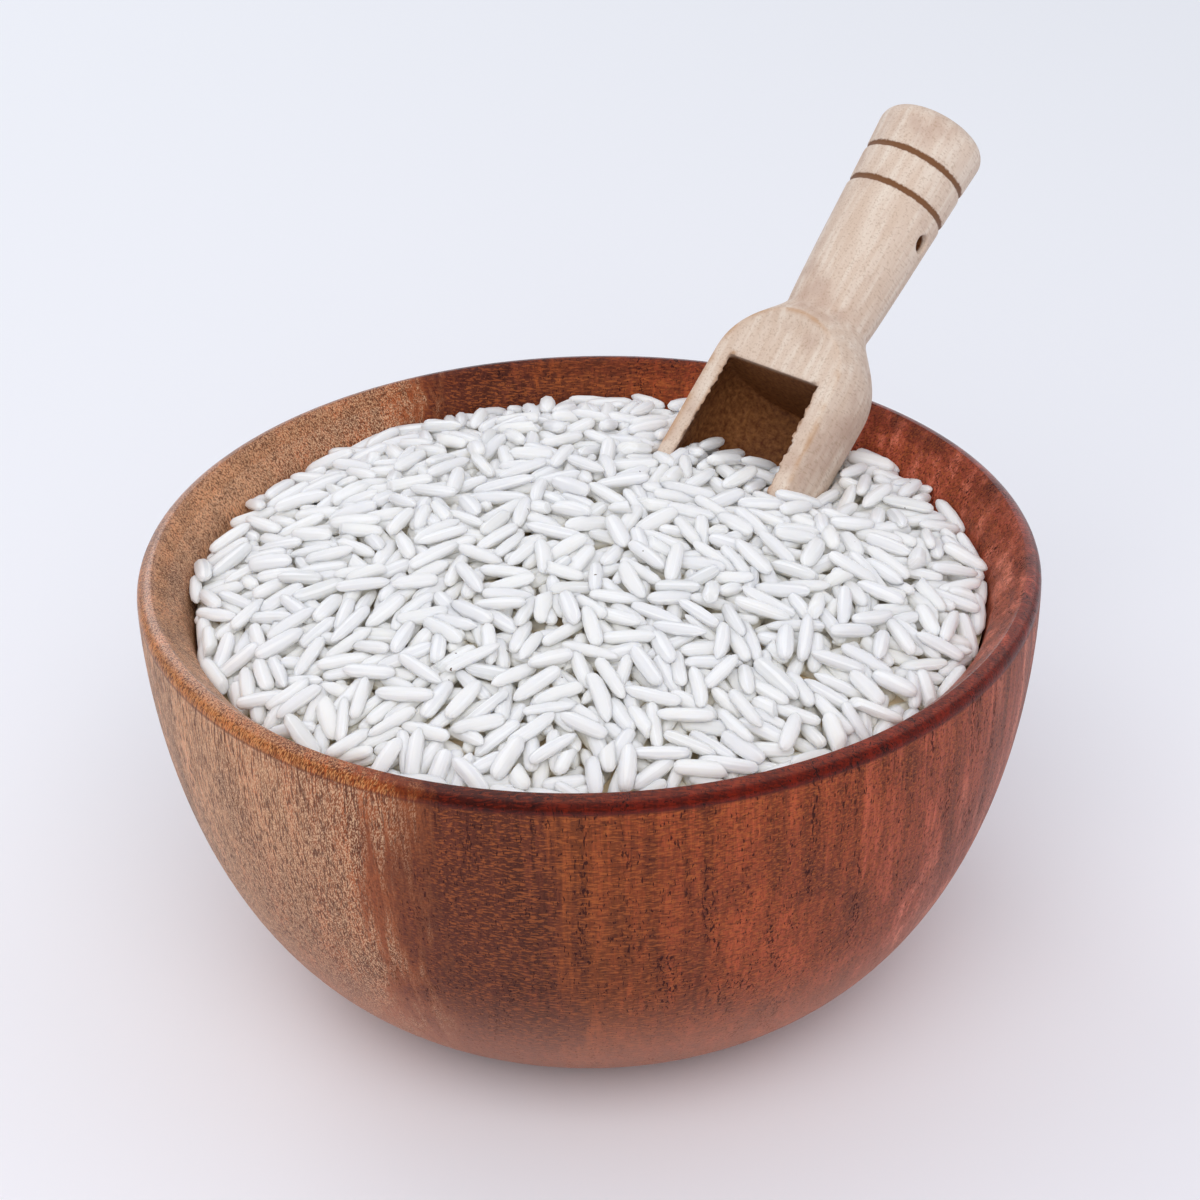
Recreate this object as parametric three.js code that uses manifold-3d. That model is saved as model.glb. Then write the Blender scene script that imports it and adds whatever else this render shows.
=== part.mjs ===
// A turned wooden bowl heaped with raw long-grain rice, with a small wooden scoop pushed into the heap.
// Millimetres, +Z up. The origin is the centre of the bowl's foot, and the scoop's handle leans to +X and +Y.
import * as THREE from 'three';
import { mergeVertices } from 'three/addons/utils/BufferGeometryUtils.js';
import Module from 'manifold-3d';

const wasm = await Module();
wasm.setup();
const { Manifold, Mesh: SolidMesh } = wasm;

// Bowl: a round wall with a beaded lip on a small flat foot.
const BOWL_RADIUS = 57.5;
const BOWL_HEIGHT = 58.2;
const FOOT_RADIUS = 22;
const LIP_WIDTH = 3.8;
const BOWL_BELLY = 0.844; // exponent of the outer wall's radius: smaller is fuller
const BOWL_DROP = 1.04; // exponent of the outer wall's height
const BOWL_SEGMENTS = 48;
const BOWL_STEPS = 11;

// Cavity: the wall thickens just under the lip, and the floor is thick, as in a bowl turned from one block.
const CAVITY_RADIUS = 50.7;
const CAVITY_FLOOR = 8.5;
const CAVITY_BELLY = 0.58;
const CAVITY_STEPS = 10;
const LIP_STEPS = 6;
const FLARE_DEPTH = 2.5; // depth over which the wall thickens under the lip
const FLARE_CROWDING = 1.25; // above 1, the cavity's rings crowd towards the lip

// Rice: a heap that meets the wall below the lip and rises above it in the middle.
const RICE_EDGE_DROP = 5.4; // from the lip's crest down to where the heap meets the wall
const RICE_RISE = 9; // from that edge up to the middle of the heap
const RICE_EDGE_RADIUS = 51.2;
const CORE_SINK = 1.1; // the core lies this far under the heap's outline
const BUMP_HEIGHT = 1.5; // of the grain-sized bumps on the core
const BUMP_PITCH = 2.8;
const GRAIN_LENGTH = 7;
const GRAIN_RADIUS = 0.98;
const GRAIN_SIDES = 4;
const GRAIN_COUNT = 156;
const GRAIN_SINK = 0.4; // of a grain's axis under the heap's outline
const GRAIN_TILT = [-0.17, 0.33]; // radians out of the heap's slope
const GRAIN_SCALE = [0.8, 1.15]; // of a grain's length
const GRAIN_EDGE_GAP = 0.5; // from the outermost grains' middles to the heap's edge
const SEED = 20451;

// Scoop: a cylinder cut open by a slanting flat and bored from its end, with a shoulder and a handle.
const SCOOP_PLACE = [27.4, 30.6, 64.7]; // where the bore's closed end meets the axis
const SCOOP_AZIMUTH = 49.7; // degrees from +X, the way the handle leans
const SCOOP_ELEVATION = 37.9; // degrees above level
const SCOOP_ROLL = 3; // degrees about the handle
const HEAD_RADIUS = 11.35;
const HEAD_LENGTH = 33;
const BORE_RADIUS = 9.35;
const FLAT_HEIGHT = 6.1; // above the axis, at the bore's closed end
const FLAT_SLOPE = 0.073; // the flat comes nearer the axis towards the tip
const NECK_RADIUS = 6.1;
const NECK_PLACE = 11;
const SHOULDER_ROUND = 2.4; // exponent of the shoulder's round below the neck
const SHOULDER_HOLLOW = 1.5; // exponent of its hollow into the neck
const SHOULDER_STEPS = 9;
const HANDLE_RADIUS = 7.7;
const HANDLE_TOP = 43.2;
const HANDLE_ROUND = 2.4; // of the handle's end
const HANDLE_CROWN = 0.4; // rise of the handle's end in its middle
const HANDLE_FLARE = 0.75; // exponent of the handle's widening from the neck
const HANDLE_PLACES = [15, 20]; // rings of the outline along the handle's plain stretch
const END_STEPS = 4;
const RING_PLACES = [30.5, 35.9];
const RING_WIDTH = 1.1;
const RING_DEPTH = 0.35;
const HOLE_RADIUS = 1.3;
const HOLE_PLACE = 26.3;
const HOLE_SIDES = 12;
const SCOOP_SEGMENTS = 32;

const CLEARANCE = 0.3; // between pieces that touch

const LIP_MIDDLE = BOWL_HEIGHT - LIP_WIDTH / 2;
const QUARTER = Math.PI / 2;

// A small seeded generator of even numbers from 0 to 1.
function seededRandom(seed) {
  let state = seed;
  return () => {
    state = (state + 0x6d2b79f5) | 0;
    let t = Math.imul(state ^ (state >>> 15), 1 | state);
    t = (t + Math.imul(t ^ (t >>> 7), 61 | t)) ^ t;
    return ((t ^ (t >>> 14)) >>> 0) / 4294967296;
  };
}

// A closed three.js geometry as a solid, without the empty triangles at a lathe's poles.
function solidFrom(geometry) {
  const bare = geometry.clone();
  bare.deleteAttribute('normal');
  bare.deleteAttribute('uv');
  const merged = mergeVertices(bare, 1e-4);
  const corners = merged.index.array;
  const kept = [];
  for (let i = 0; i < corners.length; i += 3) {
    const [a, b, c] = corners.slice(i, i + 3);
    if (a !== b && b !== c && c !== a) kept.push(a, b, c);
  }
  const vertProperties = new Float32Array(merged.attributes.position.array);
  return new Manifold(new SolidMesh({ numProp: 3, vertProperties, triVerts: new Uint32Array(kept) }));
}

// A solid as a three.js geometry.
function geometryFrom(solid) {
  const mesh = solid.getMesh();
  const geometry = new THREE.BufferGeometry();
  geometry.setAttribute('position', new THREE.BufferAttribute(new Float32Array(mesh.vertProperties), 3));
  geometry.setIndex(new THREE.BufferAttribute(new Uint32Array(mesh.triVerts), 1));
  geometry.computeVertexNormals();
  return geometry;
}

// The largest body of a solid: loose scraps and sealed hollows are dropped.
function largestBody(solid) {
  const bodies = solid.decompose();
  return bodies.reduce((best, body) => (body.volume() > best.volume() ? body : best));
}

// A profile of [radius, height] pairs, turned about +Z.
function turned(profile, segments) {
  const points = profile.map(([radius, height]) => new THREE.Vector2(radius, height));
  return new THREE.LatheGeometry(points, segments).rotateX(QUARTER);
}

// The outer wall from the foot, at share 0, to the lip, at share 1.
function outerWall(share) {
  const angle = QUARTER * (1 - share);
  const radius = FOOT_RADIUS + (BOWL_RADIUS - FOOT_RADIUS) * Math.cos(angle) ** BOWL_BELLY;
  return [radius, LIP_MIDDLE * (1 - Math.sin(angle) ** BOWL_DROP)];
}

// The lip's half-round bead, from outside, at share 0, to inside, at share 1.
function lipBead(share) {
  const middle = BOWL_RADIUS - LIP_WIDTH / 2;
  const angle = Math.PI * share;
  return [middle + (LIP_WIDTH / 2) * Math.cos(angle), LIP_MIDDLE + (LIP_WIDTH / 2) * Math.sin(angle)];
}

// The cavity's wall from the lip, at share 0, to the middle of the floor, at share 1.
function cavityWall(share) {
  const angle = QUARTER * share;
  const height = LIP_MIDDLE - (LIP_MIDDLE - CAVITY_FLOOR) * Math.sin(angle);
  const flare = (BOWL_RADIUS - LIP_WIDTH - CAVITY_RADIUS) * Math.exp((height - LIP_MIDDLE) / FLARE_DEPTH);
  const radius = (CAVITY_RADIUS + flare) * Math.max(Math.cos(angle), 0) ** CAVITY_BELLY;
  return [share < 1 ? radius : 0, height];
}

// The cavity's wall moved in by a gap, square to the wall.
function insetCavityWall(share, gap) {
  const step = 1e-3;
  const [radius, height] = cavityWall(share);
  if (share >= 1) return [0, height + gap];
  const [r0, z0] = cavityWall(Math.max(share - step, 0));
  const [r1, z1] = cavityWall(share + step);
  const length = Math.hypot(r1 - r0, z1 - z0);
  return [radius + (gap * (z1 - z0)) / length, height - (gap * (r1 - r0)) / length];
}

// Shares from 0 to 1 in even steps.
function shares(steps, from = 0) {
  return Array.from({ length: steps + 1 - from }, (_, i) => (i + from) / steps);
}

// Shares down the cavity, closer together under the lip, where the wall flares.
function cavityShares() {
  return shares(CAVITY_STEPS).map((share) => share ** FLARE_CROWDING);
}

function bowlGeometry() {
  const profile = [
    [0, 0],
    ...shares(BOWL_STEPS).map(outerWall),
    ...shares(LIP_STEPS, 1).map(lipBead),
    ...cavityShares().slice(1).map(cavityWall),
  ];
  return geometryFrom(solidFrom(turned(profile, BOWL_SEGMENTS)));
}

// The scoop's turned outline as [radius, place along the axis], all grown by a gap.
function scoopOutline(gap) {
  const outline = [
    [0, -HEAD_LENGTH - gap],
    [HEAD_RADIUS + gap, -HEAD_LENGTH - gap],
    [HEAD_RADIUS + gap, 0],
  ];
  for (const share of shares(SHOULDER_STEPS, 2)) {
    const round = (1 - share ** SHOULDER_ROUND) ** SHOULDER_HOLLOW;
    outline.push([NECK_RADIUS + (HEAD_RADIUS - NECK_RADIUS) * round + gap, NECK_PLACE * share]);
  }
  const flareAt = (place) => {
    const share = (place - NECK_PLACE) / (HANDLE_TOP - NECK_PLACE);
    return NECK_RADIUS + (HANDLE_RADIUS - NECK_RADIUS) * share ** HANDLE_FLARE + gap;
  };
  outline.push(...HANDLE_PLACES.map((place) => [flareAt(place), place]));
  for (const place of RING_PLACES) {
    outline.push([flareAt(place), place - RING_WIDTH / 2]);
    outline.push([flareAt(place) - RING_DEPTH, place]);
    outline.push([flareAt(place), place + RING_WIDTH / 2]);
  }
  for (const share of shares(END_STEPS)) {
    const inset = HANDLE_ROUND * (1 - Math.cos(QUARTER * share));
    const drop = HANDLE_ROUND * (1 - Math.sin(QUARTER * share));
    outline.push([HANDLE_RADIUS + gap - inset, HANDLE_TOP + gap - drop]);
  }
  outline.push([0, HANDLE_TOP + gap + HANDLE_CROWN]);
  return outline;
}

// The scoop in its own frame: +Y runs up the handle and +Z out of the flat. A gap makes it fatter all over.
function scoopSolid(gap = 0) {
  const points = scoopOutline(gap).map(([radius, place]) => new THREE.Vector2(radius, place));
  const block = solidFrom(new THREE.LatheGeometry(points, SCOOP_SEGMENTS));

  const cutSize = 3 * HEAD_LENGTH;
  const cut = new THREE.BoxGeometry(cutSize, cutSize, cutSize);
  cut.translate(0, 0, cutSize / 2 + gap);
  cut.rotateX(Math.atan(FLAT_SLOPE));
  cut.translate(0, 0, FLAT_HEIGHT);
  const belowNeck = new THREE.BoxGeometry(cutSize, cutSize, cutSize);
  belowNeck.translate(0, NECK_PLACE - cutSize / 2, 0);
  const aboveFlat = solidFrom(cut).intersect(solidFrom(belowNeck));

  const bore = new THREE.CylinderGeometry(BORE_RADIUS - gap, BORE_RADIUS - gap, cutSize, SCOOP_SEGMENTS);
  bore.translate(0, -cutSize / 2 - gap, 0);

  const hole = new THREE.CylinderGeometry(HOLE_RADIUS, HOLE_RADIUS, 4 * HANDLE_RADIUS, HOLE_SIDES);
  hole.rotateZ(QUARTER).translate(0, HOLE_PLACE, 0);

  return block.subtract(aboveFlat).subtract(solidFrom(bore)).subtract(solidFrom(hole));
}

// An even number from a range.
function between([low, high], share) {
  return low + (high - low) * share;
}

// A scatter value from 0 to 1 for a place on the heap.
function scatter(x, y) {
  const value = Math.sin(x * 12.9898 + y * 78.233 + SEED) * 43758.5453;
  return value - Math.floor(value);
}

// The height of the heap's smooth outline.
function heapOutline(x, y) {
  const share = (x * x + y * y) / (RICE_EDGE_RADIUS * RICE_EDGE_RADIUS);
  return BOWL_HEIGHT - RICE_EDGE_DROP + RICE_RISE * (1 - share);
}

// The room that rice may fill: the cavity less a gap, and straight up from the heap's edge.
function riceRoom() {
  const edgeHeight = BOWL_HEIGHT - RICE_EDGE_DROP + 1;
  const wall = cavityShares()
    .map((share) => insetCavityWall(share, CLEARANCE))
    .filter(([, height]) => height < edgeHeight)
    .reverse();
  const top = 2 * BOWL_HEIGHT;
  const edgeRadius = wall[wall.length - 1][0];
  return solidFrom(turned([...wall, [edgeRadius, top], [0, top]], BOWL_SEGMENTS));
}

// The heap without its loose grains, with bumps of a grain's size on top.
function riceCore(room) {
  const cells = 2 * Math.ceil(BOWL_RADIUS / BUMP_PITCH);
  const size = cells * BUMP_PITCH;
  const block = new THREE.BoxGeometry(size, size, BOWL_HEIGHT, cells, cells, 1);
  const position = block.attributes.position;
  for (let i = 0; i < position.count; i++) {
    const x = position.getX(i);
    const y = position.getY(i);
    const bump = BUMP_HEIGHT * (scatter(x, y) - 0.5);
    position.setZ(i, position.getZ(i) > 0 ? heapOutline(x, y) - CORE_SINK + bump : 0);
  }
  return room.intersect(solidFrom(block));
}

// One long grain along +Y: blunt at one end and tapered at the other.
function grainSolid(length, radius) {
  const profile = [
    [0, -0.5],
    [0.72, -0.36],
    [1, 0],
    [0.7, 0.33],
    [0, 0.5],
  ];
  const points = profile.map(([wide, along]) => new THREE.Vector2(wide * radius, along * length));
  return solidFrom(new THREE.LatheGeometry(points, GRAIN_SIDES));
}

// Grains spread evenly over the heap, each lying along its slope or poking a little out of it.
function looseGrains(room, scoopRoom) {
  const random = seededRandom(SEED);
  const goldenAngle = Math.PI * (3 - Math.sqrt(5));
  const grains = [];
  for (let i = 0; i < GRAIN_COUNT; i++) {
    const reach = (RICE_EDGE_RADIUS - GRAIN_EDGE_GAP) * Math.sqrt((i + 0.5) / GRAIN_COUNT);
    const around = i * goldenAngle;
    const x = reach * Math.cos(around);
    const y = reach * Math.sin(around);
    const heading = random() * 2 * Math.PI;
    const slope = (2 * RICE_RISE * (x * Math.sin(heading) - y * Math.cos(heading))) / RICE_EDGE_RADIUS ** 2;
    const tilt = Math.atan(slope) + between(GRAIN_TILT, random());
    const length = GRAIN_LENGTH * between(GRAIN_SCALE, random());
    const turn = new THREE.Euler(tilt, 2 * Math.PI * random(), heading, 'ZXY');
    const place = new THREE.Vector3(x, y, heapOutline(x, y) - GRAIN_SINK);
    const pose = new THREE.Matrix4().makeRotationFromEuler(turn).setPosition(place);
    const grain = grainSolid(length, GRAIN_RADIUS).transform(pose.elements);
    const clear = grain.subtract(room).isEmpty() && grain.intersect(scoopRoom).isEmpty();
    if (clear) grains.push(grain);
  }
  return grains;
}

function riceGeometry(scoopPose) {
  const room = riceRoom();
  const scoopRoom = scoopSolid(CLEARANCE).transform(scoopPose.elements);
  const core = riceCore(room).subtract(scoopRoom);
  const heap = Manifold.union([core, ...looseGrains(room, scoopRoom)]);
  return geometryFrom(largestBody(heap).simplify(0.02));
}

const bowlWood = new THREE.MeshStandardMaterial({ color: 0x7a3218, roughness: 0.42, metalness: 0 });
const riceWhite = new THREE.MeshStandardMaterial({ color: 0xf0efeb, roughness: 0.5, metalness: 0 });
const scoopWood = new THREE.MeshStandardMaterial({ color: 0xd6bf9f, roughness: 0.7, metalness: 0 });

const scoop = new THREE.Mesh(geometryFrom(scoopSolid()), scoopWood);
scoop.name = 'scoop';
scoop.position.set(...SCOOP_PLACE);
scoop.rotation.set(
  THREE.MathUtils.degToRad(SCOOP_ELEVATION),
  THREE.MathUtils.degToRad(SCOOP_ROLL),
  THREE.MathUtils.degToRad(SCOOP_AZIMUTH - 90),
  'ZXY',
);
scoop.updateMatrix();

const bowl = new THREE.Mesh(bowlGeometry(), bowlWood);
bowl.name = 'bowl';

const rice = new THREE.Mesh(riceGeometry(scoop.matrix), riceWhite);
rice.name = 'rice';

const bowlOfRice = new THREE.Group();
bowlOfRice.add(bowl, rice, scoop);

export default bowlOfRice;
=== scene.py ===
"""A turned red-brown wooden bowl heaped with raw long-grain rice, with a pale wooden scoop pushed into the heap.

Lengths are metres, +Z is up, and the origin is the middle of the bowl's foot. The rice is poured grain by grain
on a height map of the heap, so each grain rests on those under it.
"""

import logging
import math
from dataclasses import dataclass, field
from enum import Enum
from typing import Any, Callable, Sequence

import bmesh
import bpy
import numpy as np
from mathutils import Matrix, Vector
from mathutils.bvhtree import BVHTree


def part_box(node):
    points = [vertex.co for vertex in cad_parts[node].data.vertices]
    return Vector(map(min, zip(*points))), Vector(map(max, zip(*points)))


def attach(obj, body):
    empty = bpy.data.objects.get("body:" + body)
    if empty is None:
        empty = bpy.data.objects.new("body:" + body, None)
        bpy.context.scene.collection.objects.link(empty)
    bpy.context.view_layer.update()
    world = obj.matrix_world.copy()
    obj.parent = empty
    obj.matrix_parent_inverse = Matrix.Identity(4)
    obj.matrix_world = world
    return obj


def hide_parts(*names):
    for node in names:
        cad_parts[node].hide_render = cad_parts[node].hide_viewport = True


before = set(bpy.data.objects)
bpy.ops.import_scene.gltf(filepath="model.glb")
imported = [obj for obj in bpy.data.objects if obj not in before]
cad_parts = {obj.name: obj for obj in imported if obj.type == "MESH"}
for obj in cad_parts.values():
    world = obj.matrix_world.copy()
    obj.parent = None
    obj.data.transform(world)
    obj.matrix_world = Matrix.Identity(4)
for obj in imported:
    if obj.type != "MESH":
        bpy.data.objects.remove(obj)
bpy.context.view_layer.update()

BODY = "root"
MM = 0.001
QUARTER = math.pi / 2

log = logging.getLogger("bowl_of_rice")

Point = tuple[float, float, float]
Colour = tuple[float, float, float, float]


def paint(code: str) -> Colour:
    """Turn a screen colour into the linear colour that a shader takes.

    Args:
        code: The colour as six hexadecimal digits, such as "b07a55".

    Returns:
        Linear red, green and blue, with an alpha of 1.
    """
    shares = [int(code[place:place + 2], 16) / 255 for place in (0, 2, 4)]
    linear = [s / 12.92 if s <= 0.04045 else ((s + 0.055) / 1.055) ** 2.4 for s in shares]
    return linear[0], linear[1], linear[2], 1.0


class Stretch(Enum):
    """Which way the marks of a wood run: a mark is long where its number is small."""

    PORES = (1.0, 1.0, 0.26)
    RAYS = (0.2, 1.0, 1.0)
    STREAKS = (1.0, 0.55, 0.045)
    FLECKS = (1.0, 1.0, 0.24)
    STROKES = (1.0, 1.0, 0.14)
    DASHES = (1.0, 1.0, 0.1)
    ALONG_SCOOP = (1.0, 0.07, 1.0)


# Handwork on one mesh


def clear_selection() -> None:
    """Leave edit mode and deselect every object."""
    active = bpy.context.view_layer.objects.active
    if active is not None and active.mode != "OBJECT":
        bpy.ops.object.mode_set(mode="OBJECT")
    bpy.ops.object.select_all(action="DESELECT")


def take(piece: bpy.types.Object) -> None:
    """Make a piece the only selected object, and the active one.

    Args:
        piece: The piece to work on.
    """
    clear_selection()
    piece.select_set(True)
    bpy.context.view_layer.objects.active = piece


def edit(piece: bpy.types.Object) -> None:
    """Enter edit mode on one piece, with all of it selected.

    Args:
        piece: The piece to work on.
    """
    take(piece)
    bpy.ops.object.mode_set(mode="EDIT")
    bpy.ops.mesh.select_mode(type="VERT")
    bpy.ops.mesh.select_all(action="SELECT")


def pick(piece: bpy.types.Object, test: Callable[[Vector], bool]) -> int:
    """Select the vertices that pass a test, in edit mode.

    Args:
        piece: The piece in edit mode.
        test: Says for a vertex's place whether it is wanted.

    Returns:
        How many vertices are selected.
    """
    mesh = bmesh.from_edit_mesh(piece.data)
    for vertex in mesh.verts:
        vertex.select_set(test(vertex.co))
    mesh.select_flush_mode()
    bmesh.update_edit_mesh(piece.data)
    return sum(vertex.select for vertex in mesh.verts)


def name_new(name: str) -> bpy.types.Object:
    """Name the piece that an operator has just added.

    Args:
        name: The piece's name.

    Returns:
        The piece.
    """
    piece = bpy.context.active_object
    piece.name = name
    piece.data.name = name
    return piece


def finish_modifier(piece: bpy.types.Object, kind: str, **settings: Any) -> None:
    """Add a modifier and apply it.

    Args:
        piece: The piece to change.
        kind: Blender's name of the modifier's type.
        settings: The modifier's settings.
    """
    take(piece)
    modifier = piece.modifiers.new(kind.lower(), kind)
    for key, value in settings.items():
        setattr(modifier, key, value)
    bpy.ops.object.modifier_apply(modifier=modifier.name)


def carve(piece: bpy.types.Object, cutter: bpy.types.Object) -> None:
    """Cut one piece out of another, and throw the cutter away.

    Args:
        piece: The piece that is cut.
        cutter: The closed piece that is taken out of it.
    """
    finish_modifier(piece, "BOOLEAN", operation="DIFFERENCE", solver="EXACT", object=cutter)
    bpy.data.objects.remove(cutter, do_unlink=True)


def turn(name: str, profile: Sequence[tuple[float, float]], axis: Point, steps: int) -> bpy.types.Object:
    """Turn a profile into a closed round piece, as on a lathe.

    Args:
        name: The piece's name.
        profile: Pairs of radius and place along the axis, from one end on the axis to the other.
        axis: The turning axis through the origin, +Y or +Z.
        steps: Steps round the turn.

    Returns:
        The piece, closed, with its faces outwards.
    """
    along = Vector(axis)
    points = [Vector((radius, 0, 0)) + along * place for radius, place in profile]
    clear_selection()
    bpy.ops.mesh.primitive_plane_add(size=1 * MM, location=points[0])
    piece = name_new(name)
    edit(piece)
    bpy.ops.mesh.merge(type="CENTER")
    for start, end in zip(points, points[1:]):
        bpy.ops.mesh.extrude_region_move(TRANSFORM_OT_translate={"value": end - start})
    bpy.ops.object.mode_set(mode="OBJECT")
    bpy.ops.object.transform_apply(location=True, rotation=True, scale=True)
    edit(piece)
    bpy.ops.mesh.spin(steps=steps, angle=math.tau, center=(0, 0, 0), axis=axis)
    bpy.ops.mesh.select_all(action="SELECT")
    bpy.ops.mesh.remove_doubles(threshold=0.01 * MM)
    bpy.ops.mesh.normals_make_consistent(inside=False)
    bpy.ops.object.mode_set(mode="OBJECT")
    return piece


def shares(steps: int, start: int = 0) -> list[float]:
    """Give even shares up to 1.

    Args:
        steps: Steps from 0 to 1.
        start: The first step that is wanted.

    Returns:
        The shares.
    """
    return [step / steps for step in range(start, steps + 1)]


def smooth_by_angle(piece: bpy.types.Object, degrees: float) -> None:
    """Shade a piece smooth, apart from edges that are sharper than an angle.

    Args:
        piece: The piece.
        degrees: The angle.
    """
    take(piece)
    bpy.ops.object.shade_smooth_by_angle(angle=math.radians(degrees))


def store(piece: bpy.types.Object, name: str, values: np.ndarray) -> None:
    """Keep one number for each vertex, for the piece's finish to read.

    Args:
        piece: The piece.
        name: The attribute's name.
        values: A number for each vertex.
    """
    layer = piece.data.attributes.new(name, "FLOAT", "POINT")
    layer.data.foreach_set("value", np.asarray(values, dtype=np.float32))


def places_of(piece: bpy.types.Object) -> np.ndarray:
    """Read a piece's vertices.

    Args:
        piece: The piece.

    Returns:
        One row of X, Y and Z for each vertex.
    """
    flat = np.empty(3 * len(piece.data.vertices), dtype=np.float32)
    piece.data.vertices.foreach_get("co", flat)
    return flat.reshape(-1, 3).astype(float)


def hand_in(piece: bpy.types.Object, node: str, finish: bpy.types.Material) -> None:
    """Give a finished piece its material, hang it on the body and hide the solid that it stands for.

    Args:
        piece: The piece.
        node: The solid that it stands for.
        finish: The piece's material.
    """
    piece.data.materials.clear()
    piece.data.materials.append(finish)
    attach(piece, BODY)
    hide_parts(node)
    piece.data.calc_loop_triangles()
    log.info("%s: %d triangles", piece.name, len(piece.data.loop_triangles))


# Shader nodes


class Pen:
    """Adds nodes to one node tree and joins them."""

    def __init__(self, tree: bpy.types.NodeTree) -> None:
        """Start on an empty tree.

        Args:
            tree: The node tree of a material or a group.
        """
        self.tree = tree
        tree.nodes.clear()

    def node(self, kind: str, inputs: dict[Any, Any] | None = None, **settings: Any) -> bpy.types.Node:
        """Add a node.

        Args:
            kind: The node's type.
            inputs: For each input by name or number, a socket to join or a value to set.
            settings: The node's own settings.

        Returns:
            The node.
        """
        made = self.tree.nodes.new(kind)
        for key, value in settings.items():
            setattr(made, key, value)
        for key, value in (inputs or {}).items():
            if isinstance(value, bpy.types.NodeSocket):
                self.tree.links.new(value, made.inputs[key])
            else:
                made.inputs[key].default_value = value
        return made

    def calc(self, operation: str, *values: Any, clamp: bool = False) -> bpy.types.NodeSocket:
        """Work out a number.

        Args:
            operation: The Math node's operation.
            values: Sockets or numbers.
            clamp: Whether the result stays between 0 and 1.

        Returns:
            The result's socket.
        """
        inputs = dict(enumerate(values))
        return self.node("ShaderNodeMath", inputs, operation=operation, use_clamp=clamp).outputs[0]

    def blend(self, share: Any, low: Any, high: Any, mode: str = "MIX") -> bpy.types.NodeSocket:
        """Mix two colours.

        Args:
            share: How much of the second colour is used.
            low: The first colour.
            high: The second colour.
            mode: The Mix node's blend type.

        Returns:
            The mixed colour's socket.
        """
        mixer = self.node("ShaderNodeMix", data_type="RGBA", blend_type=mode)
        for key, value in ((0, share), (6, low), (7, high)):
            if isinstance(value, bpy.types.NodeSocket):
                self.tree.links.new(value, mixer.inputs[key])
            else:
                mixer.inputs[key].default_value = value
        return mixer.outputs[2]

    def spread(self, value: Any, low: float, high: float, start: float = 0.0, end: float = 1.0) -> Any:
        """Map a range onto another one, kept within it.

        Args:
            value: The number's socket.
            low: The value that gives the start.
            high: The value that gives the end.
            start: The result at the low value.
            end: The result at the high value.

        Returns:
            The result's socket.
        """
        inputs = {0: value, 1: low, 2: high, 3: start, 4: end}
        return self.node("ShaderNodeMapRange", inputs, interpolation_type="SMOOTHSTEP").outputs[0]

    def ramp(self, value: Any, stops: Sequence[tuple[float, str]]) -> bpy.types.NodeSocket:
        """Turn a number into a colour by a few stops.

        Args:
            value: The number's socket, from 0 to 1.
            stops: Places and their screen colours.

        Returns:
            The colour's socket.
        """
        ramp = self.node("ShaderNodeValToRGB", {0: value})
        elements = ramp.color_ramp.elements
        while len(elements) < len(stops):
            elements.new(0.5)
        for element, (place, code) in zip(elements, stops):
            element.position = place
            element.color = paint(code)
        return ramp.outputs[0]

    def noise(self, vector: Any, scale: float, detail: float = 3.0, rough: float = 0.5, bend: float = 0.0) -> Any:
        """Add a noise texture.

        Args:
            vector: Where the noise is read.
            scale: Noise cells for each metre.
            detail: Layers of finer noise.
            rough: Strength of the finer layers.
            bend: Distortion.

        Returns:
            The noise's value socket.
        """
        inputs = {"Vector": vector, "Scale": scale, "Detail": detail, "Roughness": rough, "Distortion": bend}
        return self.node("ShaderNodeTexNoise", inputs).outputs[0]


@dataclass(frozen=True)
class SharedGroup:
    """A shader node group that more than one finish uses."""

    name: str
    inputs: tuple[tuple[str, str, Any], ...]
    outputs: tuple[tuple[str, str], ...]

    def tree(self) -> bpy.types.NodeTree | None:
        """Give the group's tree if it has been made."""
        return bpy.data.node_groups.get(self.name)

    def start(self) -> tuple[Pen, bpy.types.Node, bpy.types.Node]:
        """Make the group's tree with its sockets.

        Returns:
            A pen on the tree, its input node and its output node.
        """
        tree = bpy.data.node_groups.new(self.name, "ShaderNodeTree")
        for label, kind, value in self.inputs:
            socket = tree.interface.new_socket(label, in_out="INPUT", socket_type=kind)
            socket.default_value = value
        for label, kind in self.outputs:
            tree.interface.new_socket(label, in_out="OUTPUT", socket_type=kind)
        pen = Pen(tree)
        return pen, pen.node("NodeGroupInput"), pen.node("NodeGroupOutput")


MARKS = SharedGroup(
    "stretched_marks",
    (
        ("Vector", "NodeSocketVector", (0.0, 0.0, 0.0)),
        ("Stretch", "NodeSocketVector", (1.0, 1.0, 1.0)),
        ("Scale", "NodeSocketFloat", 1000.0),
        ("Least", "NodeSocketFloat", 0.6),
        ("Full", "NodeSocketFloat", 0.7),
        ("Detail", "NodeSocketFloat", 1.0),
    ),
    (("Mask", "NodeSocketFloat"),),
)


def marks_group() -> bpy.types.NodeTree:
    """Make the group that draws pores, flecks, streaks and specks as stretched noise above a threshold.

    Returns:
        The group's tree.
    """
    made = MARKS.tree()
    if made is not None:
        return made
    pen, given, result = MARKS.start()
    vector = pen.node("ShaderNodeVectorMath", {0: given.outputs["Vector"], 1: given.outputs["Stretch"]})
    vector.operation = "MULTIPLY"
    inputs = {"Vector": vector.outputs[0], "Scale": given.outputs["Scale"], "Detail": given.outputs["Detail"]}
    noise = pen.node("ShaderNodeTexNoise", inputs).outputs[0]
    inputs = {0: noise, 1: given.outputs["Least"], 2: given.outputs["Full"]}
    mask = pen.node("ShaderNodeMapRange", inputs, interpolation_type="SMOOTHSTEP")
    pen.tree.links.new(mask.outputs[0], result.inputs["Mask"])
    return pen.tree


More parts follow.
